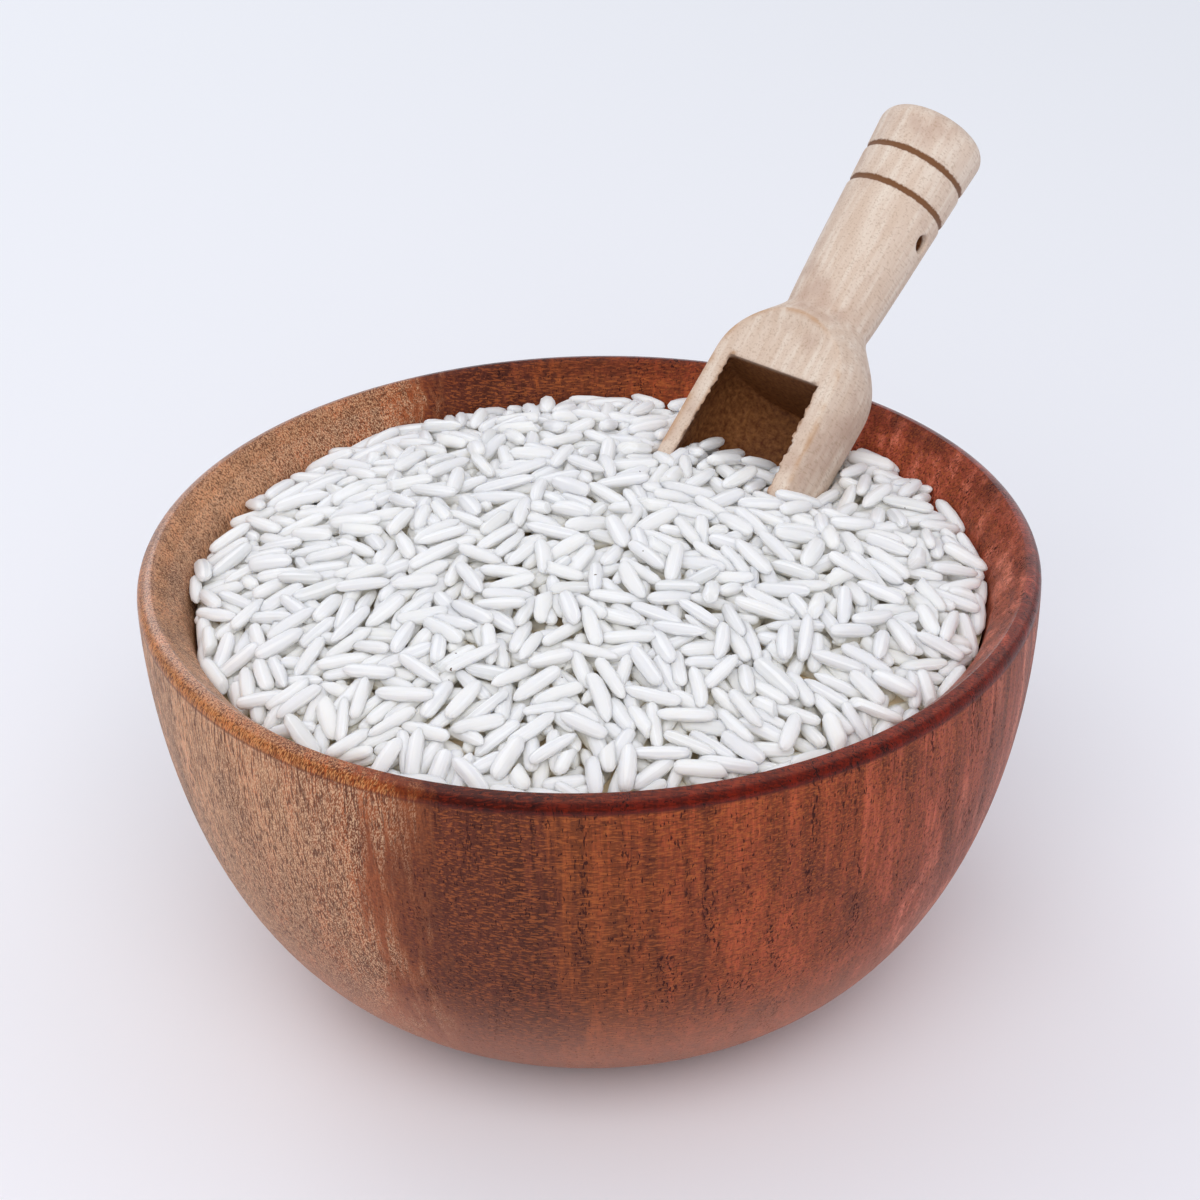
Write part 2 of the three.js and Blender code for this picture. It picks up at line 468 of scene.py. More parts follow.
def draw_marks(
    pen: Pen, vector: Any, stretch: Stretch, scale: float, least: float, full: float, detail: float = 1.0
) -> bpy.types.NodeSocket:
    """Place the group of stretched marks in a material.

    Args:
        pen: The pen on the material's tree.
        vector: Where the marks are read.
        stretch: Which way the marks run.
        scale: Marks for each metre across.
        least: Noise value where a mark starts.
        full: Noise value where a mark is full.
        detail: Layers of finer noise.

    Returns:
        The mask's socket.
    """
    inputs = {"Vector": vector, "Stretch": stretch.value, "Scale": scale}
    inputs.update({"Least": least, "Full": full, "Detail": detail})
    made = pen.tree.nodes.new("ShaderNodeGroup")
    made.node_tree = marks_group()
    for key, value in inputs.items():
        if isinstance(value, bpy.types.NodeSocket):
            pen.tree.links.new(value, made.inputs[key])
        else:
            made.inputs[key].default_value = value
    return made.outputs["Mask"]


def new_material(name: str) -> tuple[bpy.types.Material, Pen, bpy.types.Node]:
    """Start a material with a Principled BSDF.

    Args:
        name: The material's name.

    Returns:
        The material, a pen on its tree, and the shader node.
    """
    material = bpy.data.materials.new(name)
    material.use_nodes = True
    pen = Pen(material.node_tree)
    shader = pen.node("ShaderNodeBsdfPrincipled")
    output = pen.node("ShaderNodeOutputMaterial")
    pen.tree.links.new(shader.outputs[0], output.inputs[0])
    return material, pen, shader


def add_bump(pen: Pen, shader: bpy.types.Node, height: Any, depth: float) -> None:
    """Let a height raise and lower a surface's shading.

    Args:
        pen: The pen on the material's tree.
        shader: The material's shader node.
        height: The height's socket, from 0 to 1.
        depth: How deep a height of 1 is.
    """
    bump = pen.node("ShaderNodeBump", {"Height": height, "Distance": depth, "Strength": 1.0})
    pen.tree.links.new(bump.outputs[0], shader.inputs["Normal"])


# Finishes


@dataclass(frozen=True)
class BowlWood:
    """Lacquered red-brown hardwood. Its fibres stand upright, and its growth sheets face left and right. Light and
    shade are painted in as well: a pink floor reflection low on the wall, a pale reflection on the lip's crest, a dark
    line of shade in the groove under the lip, and partly a pink sheen at the far right.
    """

    reach: float
    height: float
    stops: tuple[tuple[float, str], ...] = (
        (0.0, "cd946e"),
        (0.1, "ac7151"),
        (0.17, "ac6541"),
        (0.225, "93502f"),
        (0.265, "5e2d1f"),
        (0.37, "54281b"),
        (0.42, "683221"),
        (0.47, "80401f"),
        (0.62, "883e20"),
        (0.85, "9c472b"),
        # the last two stops, a lighter pink at the far right, are partly the wood's colour and partly painted sheen on
        # that side
        (0.95, "b05540"),
        (1.0, "c4715c"),
    )
    lip_drop: float = 1.95 * MM
    lip_half: float = 1.9 * MM

    def figure(self, pen: Pen, place: Any, across: Any) -> tuple[Any, Any, Any]:
        """Colour the growth sheets, with dark bands and streaks along the fibres.

        Args:
            pen: The pen on the material's tree.
            place: The place on the bowl.
            across: Its X.

        Returns:
            The colour, the fine streaks' mask and the growth sheet's number.
        """
        sway = pen.noise(place, 26, 3)
        streaks = draw_marks(pen, place, Stretch.STREAKS, 420, 0.3, 0.72, 4)
        fine = draw_marks(pen, place, Stretch.STREAKS, 1700, 0.3, 0.72, 2)
        sheet = pen.calc("ADD", pen.spread(across, -self.reach, self.reach), pen.spread(sway, 0, 1, -0.09, 0.09))
        sheet = pen.calc("ADD", sheet, pen.spread(streaks, 0, 1, -0.03, 0.03))
        sheet = pen.calc("ADD", sheet, pen.spread(fine, 0, 1, -0.015, 0.015))
        colour = pen.ramp(sheet, self.stops)
        band = draw_marks(pen, place, Stretch.STREAKS, 190, 0.55, 0.75, 3)
        colour = pen.blend(pen.calc("MULTIPLY", band, 0.6), colour, paint("4f251c"))
        shade = pen.calc("MULTIPLY", pen.spread(streaks, 0, 1, 0.76, 1.2), pen.spread(fine, 0, 1, 0.8, 1.16))
        grey = pen.node("ShaderNodeCombineColor", {0: shade, 1: shade, 2: shade}).outputs[0]
        colour = pen.blend(1.0, colour, grey, "MULTIPLY")
        cloud = pen.noise(place, 85, 3, 0.6)
        return pen.blend(pen.spread(cloud, 0.48, 0.72, 0, 0.5), colour, paint("4c241c")), fine, sheet

    def material(self) -> bpy.types.Material:
        """Build the material.

        Returns:
            The material.
        """
        material, pen, shader = new_material("bowl_wood")
        place = pen.node("ShaderNodeTexCoord").outputs["Object"]
        parts = pen.node("ShaderNodeSeparateXYZ", {0: place})
        across = parts.outputs[0]
        colour, fine, sheet = self.figure(pen, place, across)

        up = parts.outputs[2]
        turned = pen.node("ShaderNodeMapping", {"Vector": place, "Rotation": (0.16, -0.42, 0.0)}).outputs[0]
        left = pen.spread(sheet, 0.265, 0.17)
        right = pen.spread(sheet, 0.19, 0.3)
        light_flecks = draw_marks(pen, turned, Stretch.STROKES, 6800, 0.47, 0.56, 2)
        light_share = pen.calc("MULTIPLY", light_flecks, pen.spread(left, 0, 1, 0.08, 0.75))
        colour = pen.blend(light_share, colour, pen.blend(left, paint("96573a"), paint("e0b692")))
        dark_flecks = draw_marks(pen, place, Stretch.DASHES, 4600, 0.52, 0.59, 2)
        dark_share = pen.calc("MULTIPLY", dark_flecks, pen.spread(left, 0, 1, 0.35, 0.75))
        colour = pen.blend(dark_share, colour, paint("562b1e"))
        rays = draw_marks(pen, place, Stretch.RAYS, 4400, 0.5, 0.6, 3)
        colour = pen.blend(pen.calc("MULTIPLY", rays, pen.calc("MULTIPLY", right, 0.5)), colour, paint("b06030"))
        shadows = draw_marks(pen, place, Stretch.RAYS, 3300, 0.52, 0.62, 3)
        colour = pen.blend(pen.calc("MULTIPLY", shadows, pen.calc("MULTIPLY", right, 0.5)), colour, paint("421a10"))
        pores = draw_marks(pen, place, Stretch.PORES, 4200, 0.66, 0.7, 1)
        crowd = draw_marks(pen, place, Stretch.STREAKS, 450, 0.54, 0.66, 2)
        chains = draw_marks(pen, place, Stretch.PORES, 3600, 0.57, 0.62, 1)
        pores = pen.calc("MAXIMUM", pores, pen.calc("MULTIPLY", chains, crowd))
        colour = pen.blend(pen.calc("MULTIPLY", pores, pen.spread(right, 0, 1, 0.3, 0.85)), colour, paint("2b0f12"))
        # painted reflection: low on the wall the colour is blended towards a light pink, for light thrown up from the
        # floor
        foot = pen.calc("MULTIPLY", pen.spread(up, 0.5 * self.height, 0.12 * self.height), 0.5)
        colour = pen.blend(foot, colour, paint("c58a74"))

        lip = pen.spread(up, self.height - self.lip_drop, self.height - self.lip_drop + 0.2 * MM)
        crest = pen.spread(up, self.height - 0.7 * MM, self.height - 0.2 * MM)
        off = pen.node("ShaderNodeVectorMath", {0: place, 1: (1.0, 1.0, 0.0)}, operation="MULTIPLY").outputs[0]
        off = pen.node("ShaderNodeVectorMath", {0: off}, operation="LENGTH").outputs["Value"]
        outer = pen.spread(off, self.reach - self.lip_half - 0.7 * MM, self.reach - self.lip_half + 0.5 * MM)
        # the lip's lacquer tint, which on the crest turns into a painted reflection, pale and hazy
        lip_tint_and_reflection = pen.blend(right, paint("f0cfa4"), paint("a8582a"))
        crest_reflection = pen.blend(right, paint("f2dccb"), paint("d09c86"))
        lip_tint_and_reflection = pen.blend(crest, lip_tint_and_reflection, crest_reflection)
        share = pen.calc("MULTIPLY", lip, pen.spread(outer, 0, 1, 0.3, 1.0))
        colour = pen.blend(share, colour, pen.blend(1.0, colour, lip_tint_and_reflection, "MULTIPLY"))
        # painted shade: a thin dark line along the groove under the lip
        groove_shade = pen.calc("ABSOLUTE", pen.calc("SUBTRACT", up, self.height - self.lip_drop + 0.1 * MM))
        groove_shade = pen.calc("MULTIPLY", pen.spread(groove_shade, 0.08 * MM, 0.3 * MM, 0.45, 0.0), outer)
        colour = pen.blend(groove_shade, colour, paint("55241a"))
        pen.tree.links.new(colour, shader.inputs["Base Color"])

        rough = pen.calc("ADD", pen.spread(share, 0, 1, 0.46, 0.32), pen.calc("MULTIPLY", pores, 0.25))
        pen.tree.links.new(rough, shader.inputs["Roughness"])
        shader.inputs["Specular IOR Level"].default_value = 0.14
        shader.inputs["Coat Roughness"].default_value = 0.2
        coat = pen.calc("MULTIPLY", share, pen.spread(crest, 0, 1, 0.15, 0.7))
        pen.tree.links.new(coat, shader.inputs["Coat Weight"])
        height = pen.calc("SUBTRACT", pen.calc("MULTIPLY", fine, 0.3), pen.calc("MULTIPLY", pores, 0.7))
        height = pen.calc("ADD", height, pen.calc("MULTIPLY", light_flecks, pen.spread(left, 0, 1, 0.1, 0.4)))
        add_bump(pen, shader, height, 0.05 * MM)
        return material


@dataclass(frozen=True)
class ScoopWood:
    """Bare pale wood, sanded, with burnt rings, darker edges along the flat's crease and the bore's rim, and a rough
    bore that is darker inside: partly its own wood, partly painted shade.
    """

    to_scoop: Matrix
    ring_places: tuple[float, ...]
    ring_width: float

    def material(self) -> bpy.types.Material:
        """Build the material.

        Returns:
            The material.
        """
        material, pen, shader = new_material("scoop_wood")
        place = pen.node("ShaderNodeTexCoord").outputs["Object"]
        pose = self.to_scoop.inverted()
        inputs = {"Vector": place, "Location": pose.to_translation(), "Rotation": pose.to_euler("XYZ")}
        own = pen.node("ShaderNodeMapping", inputs, vector_type="TEXTURE").outputs[0]
        along = pen.node("ShaderNodeSeparateXYZ", {0: own}).outputs[1]

        streaks = draw_marks(pen, own, Stretch.ALONG_SCOOP, 900, 0.3, 0.75, 3)
        colour = pen.ramp(streaks, ((0.0, "d6bfac"), (0.5, "ddc9b8"), (1.0, "e6d7c8")))
        cloud = pen.noise(own, 120, 3, 0.6)
        colour = pen.blend(pen.spread(cloud, 0.5, 0.72, 0, 0.6), colour, paint("bb9c8b"))
        specks = draw_marks(pen, own, Stretch.FLECKS, 3600, 0.52, 0.66, 3)
        colour = pen.blend(pen.calc("MULTIPLY", specks, 0.36), colour, paint("a5856a"))

        # darker along the flat's crease and the bore's rim
        dark_edge = pen.node("ShaderNodeAttribute", attribute_name="dark_edge").outputs["Fac"]
        fleck = pen.noise(own, 1500, 3, 0.7)
        edge = pen.calc("MULTIPLY", dark_edge, pen.spread(pen.noise(own, 260, 2), 0.36, 0.6, 0.1, 0.85))
        colour = pen.blend(edge, colour, paint("b78658"))
        # the bore's darker wood with painted shade added, and painted shade in the cross hole
        inside = pen.node("ShaderNodeAttribute", attribute_name="inside").outputs["Fac"]
        bored = pen.ramp(fleck, ((0.3, "572c15"), (0.7, "916038")))
        colour = pen.blend(inside, colour, bored)
        for ring in self.ring_places:
            away = pen.calc("ABSOLUTE", pen.calc("SUBTRACT", along, ring))
            ragged = pen.calc("ADD", away, pen.spread(fleck, 0.2, 0.8, -0.12 * MM, 0.12 * MM))
            burnt = pen.spread(ragged, 0.3 * self.ring_width, 0.52 * self.ring_width, 1.0, 0.0)
            colour = pen.blend(burnt, colour, paint("7a5234"))
        pen.tree.links.new(colour, shader.inputs["Base Color"])
        shader.inputs["Roughness"].default_value = 0.62
        shader.inputs["Specular IOR Level"].default_value = 0.35
        height = pen.calc("ADD", pen.calc("MULTIPLY", streaks, 0.6), pen.calc("MULTIPLY", fleck, 0.5))
        add_bump(pen, shader, height, 0.07 * MM)
        return material


@dataclass(frozen=True)
class RiceFinish:
    """Raw white rice: bright and slightly translucent, with painted light and shade that turn it creamier and warmer
    down between the grains.
    """

    name: str
    top: str
    # under is mixed in at random and also painted a little way down between grains; deep is the painted colour deepest
    # between them
    under: str
    deep: str
    glow: float
    rough: float

    def material(self) -> bpy.types.Material:
        """Build the material.

        Returns:
            The material.
        """
        material, pen, shader = new_material(self.name)
        place = pen.node("ShaderNodeTexCoord").outputs["Object"]
        tone = pen.node("ShaderNodeAttribute", attribute_name="tone").outputs["Fac"]
        depth = pen.node("ShaderNodeAttribute", attribute_name="depth").outputs["Fac"]
        wrap = pen.node("ShaderNodeUVMap", uv_map="wrap").outputs[0]
        sides = pen.node("ShaderNodeMapping", {"Vector": wrap, "Scale": (7.0, 0.7, 1.0)}).outputs[0]
        ridges = pen.noise(sides, 1.0, 1, 0.6)
        colour = pen.blend(pen.spread(tone, 0, 1, 0.0, 0.4), paint(self.top), paint(self.under))
        # painted highlight: lighter lines along the grains' ridges
        colour = pen.blend(pen.spread(ridges, 0.5, 0.6, 0, 0.8), colour, paint("f9f9f9"))
        # painted light and shade between grains: the deeper a point lies under the heap's local top, the creamier and
        # warmer it is painted
        colour = pen.blend(pen.spread(depth, 0.1, 0.6, 0.0, 1.0), colour, paint(self.under))
        colour = pen.blend(pen.spread(depth, 0.7, 1.0, 0.0, 0.9), colour, paint(self.deep))
        specks = draw_marks(pen, place, Stretch.FLECKS, 1100, 0.805, 0.82)
        colour = pen.blend(specks, colour, paint("5f4530"))
        pen.tree.links.new(colour, shader.inputs["Base Color"])
        shader.inputs["Subsurface Weight"].default_value = self.glow
        shader.inputs["Subsurface Radius"].default_value = (1.0, 0.95, 0.86)
        shader.inputs["Subsurface Scale"].default_value = 1.6 * MM
        shader.inputs["Roughness"].default_value = self.rough
        shader.inputs["Sheen Weight"].default_value = 0.3
        shader.inputs["Sheen Roughness"].default_value = 0.35
        add_bump(pen, shader, ridges, 0.12 * MM)
        return material


@dataclass(frozen=True)
class FloorFinish:
    """A plain pale floor with a painted light gradient: a little darker and more lavender near the camera, lighter and
    bluer far off.
    """

    near: str = "f1eff6"
    far: str = "f6f8fc"
    reach: float = 0.5

    def material(self) -> bpy.types.Material:
        """Build the material.

        Returns:
            The material.
        """
        material, pen, shader = new_material("floor_pale")
        place = pen.node("ShaderNodeTexCoord").outputs["Object"]
        back = pen.node("ShaderNodeSeparateXYZ", {0: place}).outputs[1]
        # painted light gradient from the near side to the far side
        share = pen.spread(back, -self.reach, self.reach)
        pen.tree.links.new(pen.blend(share, paint(self.near), paint(self.far)), shader.inputs["Base Color"])
        shader.inputs["Roughness"].default_value = 0.7
        return material


# The bowl


@dataclass
class TurnedBowl:
    """The bowl: a round wall with a glossy beaded lip on a small flat foot."""

    radius: float
    height: float
    foot_radius: float = 22 * MM
    lip_width: float = 3.8 * MM
    belly: float = 0.844
    drop: float = 1.04
    cavity_radius: float = 50.7 * MM
    cavity_floor: float = 8.5 * MM
    cavity_belly: float = 0.58
    flare_depth: float = 2.5 * MM
    groove_depth: float = 0.1 * MM
    groove_place: float = 0.22 * MM
    soft_reach: float = 2.6 * MM
    soft_passes: int = 60
    wall_steps: int = 44
    lip_steps: int = 16
    turn_steps: int = 192

    @property
    def lip_middle(self) -> float:
        """The height of the middle of the lip's half-round bead."""
        return self.height - self.lip_width / 2

    def outer_wall(self, share: float) -> tuple[float, float]:
        """Give a point of the outer wall.

        Args:
            share: 0 at the foot and 1 at the lip.

        Returns:
            Radius and height.
        """
        angle = QUARTER * (1 - share)
        radius = self.foot_radius + (self.radius - self.foot_radius) * max(math.cos(angle), 0.0) ** self.belly
        height = self.lip_middle * (1 - math.sin(angle) ** self.drop)
        under_lip = (self.lip_middle - self.groove_place - height) / (0.6 * self.groove_place)
        return radius - self.groove_depth * math.exp(-under_lip * under_lip), height

    def lip_bead(self, share: float) -> tuple[float, float]:
        """Give a point of the lip.

        Args:
            share: 0 outside and 1 inside.

        Returns:
            Radius and height.
        """
        half = self.lip_width / 2
        angle = math.pi * share
        return self.radius - half + half * math.cos(angle), self.lip_middle + half * math.sin(angle)

    def cavity_wall(self, share: float) -> tuple[float, float]:
        """Give a point of the cavity's wall.

        Args:
            share: 0 at the lip and 1 in the middle of the floor.

        Returns:
            Radius and height.
        """
        angle = QUARTER * share
        height = self.lip_middle - (self.lip_middle - self.cavity_floor) * math.sin(angle)
        widening = self.radius - self.lip_width - self.cavity_radius
        flare = widening * math.exp((height - self.lip_middle) / self.flare_depth)
        if share >= 1:
            return 0.0, height
        return (self.cavity_radius + flare) * math.cos(angle) ** self.cavity_belly, height

    def soften(self, profile: list[tuple[float, float]]) -> list[tuple[float, float]]:
        """Round the profile where the lip runs into the cavity's wall.

        Args:
            profile: Pairs of radius and height.

        Returns:
            The rounded profile.
        """
        points = np.array(profile)
        corner = np.array((self.radius - self.lip_width, self.lip_middle))
        near = np.hypot(*(points - corner).T) < self.soft_reach
        inner = points[:, 0] < self.radius - self.lip_width / 2
        moved = np.nonzero(near & inner)[0]
        for _ in range(self.soft_passes):
            points[moved] = (points[moved - 1] + 2 * points[moved] + points[moved + 1]) / 4
        return [(float(radius), float(height)) for radius, height in points]

    def build(self) -> bpy.types.Object:
        """Turn the bowl and dress it.

        Returns:
            The bowl.
        """
        crowded = [share**1.3 for share in shares(self.wall_steps, 1)]
        wall = [self.outer_wall(1 - (1 - share) ** 1.3) for share in shares(self.wall_steps)]
        profile = [(0.0, 0.0), *wall]
        profile += [self.lip_bead(share) for share in shares(self.lip_steps, 1)]
        profile += [self.cavity_wall(share) for share in crowded]
        bowl = turn("bowl_turned", self.soften(profile), (0, 0, 1), self.turn_steps)
        smooth_by_angle(bowl, 40)
        wood = BowlWood(self.radius, self.height)
        hand_in(bowl, "bowl", wood.material())
        return bowl


# The scoop


@dataclass
class TurnedScoop:
    """The scoop, modelled in its own frame: +Y runs up the handle and +Z out of the flat."""

    place: Point = (27.4 * MM, 30.6 * MM, 64.7 * MM)
    azimuth: float = 49.7
    elevation: float = 37.9
    roll: float = 3.0
    head_radius: float = 11.35 * MM
    head_length: float = 33 * MM
    bore_radius: float = 9.1 * MM
    flat_height: float = 6.1 * MM
    flat_slope: float = 0.073
    fade_from: float = 4 * MM
    fade: float = 65.0
    neck_radius: float = 6.1 * MM
    neck_place: float = 11 * MM
    shoulder_round: float = 2.4
    shoulder_hollow: float = 1.5
    handle_radius: float = 7.66 * MM
    handle_top: float = 43.15 * MM
    handle_round: float = 2.4 * MM
    handle_crown: float = 0.4 * MM
    handle_flare: float = 0.75
    ring_places: tuple[float, ...] = (30.5 * MM, 35.9 * MM)
    ring_width: float = 1.1 * MM
    ring_depth: float = 0.35 * MM
    hole_radius: float = 1.3 * MM
    hole_place: float = 26.3 * MM
    voxel: float = 0.29 * MM
    turn_steps: int = 128

    @property
    def pose(self) -> Matrix:
        """The scoop's place and turn in the bowl's frame."""
        lean = Matrix.Rotation(math.radians(self.azimuth - 90), 4, "Z")
        rise = Matrix.Rotation(math.radians(self.elevation), 4, "X")
        roll = Matrix.Rotation(math.radians(self.roll), 4, "Y")
        return Matrix.Translation(self.place) @ lean @ rise @ roll

    def handle_at(self, place: float) -> float:
        """Give the handle's radius at a place along it."""
        share = (place - self.neck_place) / (self.handle_top - self.neck_place)
        return self.neck_radius + (self.handle_radius - self.neck_radius) * share**self.handle_flare

    def outline(self, gap: float, fine: bool) -> list[tuple[float, float]]:
        """Give the turned outline.

        Args:
            gap: How much fatter it is all over.
            fine: Whether it has the rings and many steps.

        Returns:
            Pairs of radius and place along the handle.
        """
        wide = self.head_radius - self.neck_radius
        outline = [(0.0, -self.head_length - gap), (self.head_radius + gap, -self.head_length - gap)]
        outline.append((self.head_radius + gap, 0.0))
        for share in shares(24 if fine else 8, 1):
            bulge = max(1 - share**self.shoulder_round, 0.0) ** self.shoulder_hollow
            outline.append((self.neck_radius + wide * bulge + gap, self.neck_place * share))
        stops = [self.neck_place + step * 1.5 * MM for step in range(1, 11 if fine else 2)]
        outline += [(self.handle_at(stop) + gap, stop) for stop in stops]
        if fine:
            for ring in self.ring_places:
                for share in (-0.5, -0.25, 0.0, 0.25, 0.5):
                    cut = self.ring_depth * (1 - abs(2 * share) ** 1.4)
                    outline.append((self.handle_at(ring) - cut, ring + self.ring_width * share))
        for share in shares(8 if fine else 3):
            inset = self.handle_round * (1 - math.cos(QUARTER * share))
            below = self.handle_round * (1 - math.sin(QUARTER * share))
            outline.append((self.handle_radius + gap - inset, self.handle_top + gap - below))
        outline.append((0.0, self.handle_top + self.handle_crown + gap))
        return outline

    def flat_cutter(self, gap: float) -> bpy.types.Object:
        """Make the block that cuts the slanting flat below the neck.

        Args:
            gap: How far it stays above the flat.

        Returns:
            The cutter.
        """
        reach = 3 * self.head_length
        stops = [self.neck_place * share for share in reversed(shares(16))]
        ways = [(stop, float(self.flat_at(np.float64(stop))) + gap) for stop in [*stops, -reach]]
        clear_selection()
        bpy.ops.mesh.primitive_plane_add(size=1 * MM, location=(-reach, *ways[0]))
        cutter = name_new("flat_cutter")
        edit(cutter)
        bpy.ops.mesh.merge(type="CENTER")
        for (near, low), (far, high) in zip(ways, ways[1:]):
            bpy.ops.mesh.extrude_region_move(TRANSFORM_OT_translate={"value": (0, far - near, high - low)})
        for way in ((0, 0, reach), (2 * reach, 0, 0)):
            bpy.ops.mesh.select_all(action="SELECT")
            bpy.ops.mesh.extrude_region_move(TRANSFORM_OT_translate={"value": way})
        bpy.ops.mesh.select_all(action="SELECT")
        bpy.ops.mesh.normals_make_consistent(inside=False)
        bpy.ops.object.mode_set(mode="OBJECT")
        bpy.ops.object.transform_apply(location=True, rotation=True, scale=True)
        return cutter

    def round_cutter(self, name: str, radius: float, length: float, middle: Point, sideways: bool) -> bpy.types.Object:
        """Make a drill, along the scoop or across it.

        Args:
            name: The cutter's name.
            radius: The drill's radius.
            length: The drill's length.
            middle: The drill's middle.
            sideways: Whether it drills across, along X.

        Returns:
            The cutter.
        """
        clear_selection()
        turned = (0, QUARTER, 0) if sideways else (QUARTER, 0, 0)
        bpy.ops.mesh.primitive_cylinder_add(vertices=self.turn_steps, radius=radius, depth=length, location=middle,
                                            rotation=turned)
        cutter = name_new(name)
        bpy.ops.object.transform_apply(location=True, rotation=True, scale=True)
        return cutter

    def block(self, name: str, gap: float, fine: bool) -> bpy.types.Object:
        """Turn and cut the scoop in its own frame.

        Args:
            name: The piece's name.
            gap: How much fatter it is all over.
            fine: Whether it has the rings, the hole and many steps.

        Returns:
            The scoop, still in its own frame.
        """
        body = turn(name, self.outline(gap, fine), (0, 1, 0), self.turn_steps if fine else 32)
        carve(body, self.flat_cutter(gap))
        length = 2 * self.head_length
        bore = self.round_cutter("bore", self.bore_radius - gap, length, (0, -length / 2 - gap, 0), False)
        carve(body, bore)
        if fine:
            hole = self.round_cutter("hole", self.hole_radius, 4 * self.handle_radius, (0, self.hole_place, 0), True)
            carve(body, hole)
        return body

    def flat_at(self, along: np.ndarray) -> np.ndarray:
        """Give the flat's height over the axis at places along it: it fades out towards the neck."""
        return self.flat_height + self.flat_slope * along + self.fade * np.clip(along - self.fade_from, 0, None) ** 2

    def radius_at(self, along: np.ndarray) -> np.ndarray:
        """Give the turned outline's radius at places along it, without rings."""
        share = np.clip(along / self.neck_place, 0, 1)
        wide = self.head_radius - self.neck_radius
        shoulder = self.neck_radius + wide * (1 - share**self.shoulder_round) ** self.shoulder_hollow
        up = np.clip((along - self.neck_place) / (self.handle_top - self.neck_place), 0, 1)
        handle = self.neck_radius + (self.handle_radius - self.neck_radius) * up**self.handle_flare
        return np.where(along < self.neck_place, shoulder, handle)

    def distance(self, points: np.ndarray) -> np.ndarray:
        """Give about how far points are from the scoop's wood, below 0 inside it.

        Args:
            points: Rows of X, Y and Z in the bowl's frame.

        Returns:
            A distance for each point.
        """
        to_own = np.array(self.pose.inverted())
        own = points @ to_own[:3, :3].T + to_own[:3, 3]
        across, along, out = own[..., 0], own[..., 1], own[..., 2]
        round_off = np.hypot(across, out)
        flat = np.minimum(out - self.flat_at(along), self.neck_place - along)
        bore = -np.maximum(round_off - self.bore_radius, along)
        ends = np.maximum(-self.head_length - along, along - self.handle_top)
        return np.maximum.reduce([round_off - self.radius_at(along), flat, bore, ends])

    def burn(self, scoop: bpy.types.Object) -> None:
        """Mark where the wood is darker along the flat's crease and the bore's rim, and where it is dark inside the
        bore and the cross hole, partly by painted shade, from each vertex's place in the scoop's frame.

        Args:
            scoop: The scoop, still in its own frame.
        """
        places = places_of(scoop)
        across, along, out = places.T
        round_off = np.hypot(across, out)
        off_flat = np.abs(out - self.flat_at(along))
        off_wall = np.abs(round_off - self.radius_at(along))
        crease = np.exp(-((np.hypot(off_flat, off_wall) / (0.55 * MM)) ** 2)) * (along < self.neck_place + 1 * MM)
        rim = np.exp(-((np.hypot(off_flat, round_off - self.bore_radius) / (0.4 * MM)) ** 2)) * (along < 0.5 * MM)
        store(scoop, "dark_edge", np.clip(0.8 * crease + 0.8 * rim, 0, 1))
        # dark inside: the bore's darker wood with painted shade added, and painted shade in the cross hole
        bored = (round_off < self.bore_radius + 0.3 * MM) & (along < 0.4 * MM)
        depth = np.clip((self.flat_at(along) - out) / (9 * MM), 0, 1)
        hole = (np.hypot(along - self.hole_place, out) < self.hole_radius + 0.2 * MM)
        hole &= np.abs(across) < self.handle_at(self.hole_place) - 0.9 * MM
        store(scoop, "inside", np.clip(bored * (8 * depth) ** 0.5 + hole, 0, 1))

    def roughen(self, scoop: bpy.types.Object) -> None:
        """Leave splinters at the opening's edges and a rough bore.

        Args:
            scoop: The scoop, still in its own frame.
        """
        places = places_of(scoop)
        across, along, out = places.T
        round_off = np.hypot(across, out)
        near_bore = np.clip(1 - np.abs(round_off - self.bore_radius) / (0.6 * MM), 0, 1) * (along < 0.6 * MM)
        near_flat = np.clip(1 - np.abs(out - self.flat_at(along)) / (0.7 * MM), 0, 1)
        share = np.clip(0.25 * near_bore + 0.75 * near_bore * near_flat, 0, 1)
        group = scoop.vertex_groups.new(name="rough")
        for index in np.nonzero(share > 0.01)[0]:
            group.add([int(index)], float(share[index]), "REPLACE")
        splinters = bpy.data.textures.new("splinters", "CLOUDS")
        splinters.noise_scale = 0.65 * MM
        splinters.noise_depth = 2
        finish_modifier(scoop, "DISPLACE", texture=splinters, strength=-1.3 * MM, mid_level=0.4, vertex_group="rough")

    def build(self) -> bpy.types.Object:
        """Make the scoop, put it in the heap and dress it.

        Returns:
            The scoop.
        """
        scoop = self.block("scoop_turned", 0.0, True)
        finish_modifier(scoop, "REMESH", mode="VOXEL", voxel_size=self.voxel)
        finish_modifier(scoop, "SMOOTH", factor=0.4, iterations=1)
        self.roughen(scoop)
        self.burn(scoop)
        scoop.vertex_groups.clear()
        take(scoop)
        bpy.ops.object.shade_smooth()
        scoop.matrix_world = self.pose
        bpy.ops.object.transform_apply(location=True, rotation=True, scale=True)
        wood = ScoopWood(self.pose.inverted(), self.ring_places, self.ring_width)
        hand_in(scoop, "scoop", wood.material())
        return scoop

    def envelope(self, gap: float) -> bpy.types.Object:
        """Make a plain, slightly fatter scoop in its place, for cutting its room out of the rice.

        Args:
            gap: How much fatter it is.

        Returns:
            The cutter.
        """
        cutter = self.block("scoop_room", gap, False)
        take(cutter)
        cutter.matrix_world = self.pose
        bpy.ops.object.transform_apply(location=True, rotation=True, scale=True)
        return cutter


# The rice


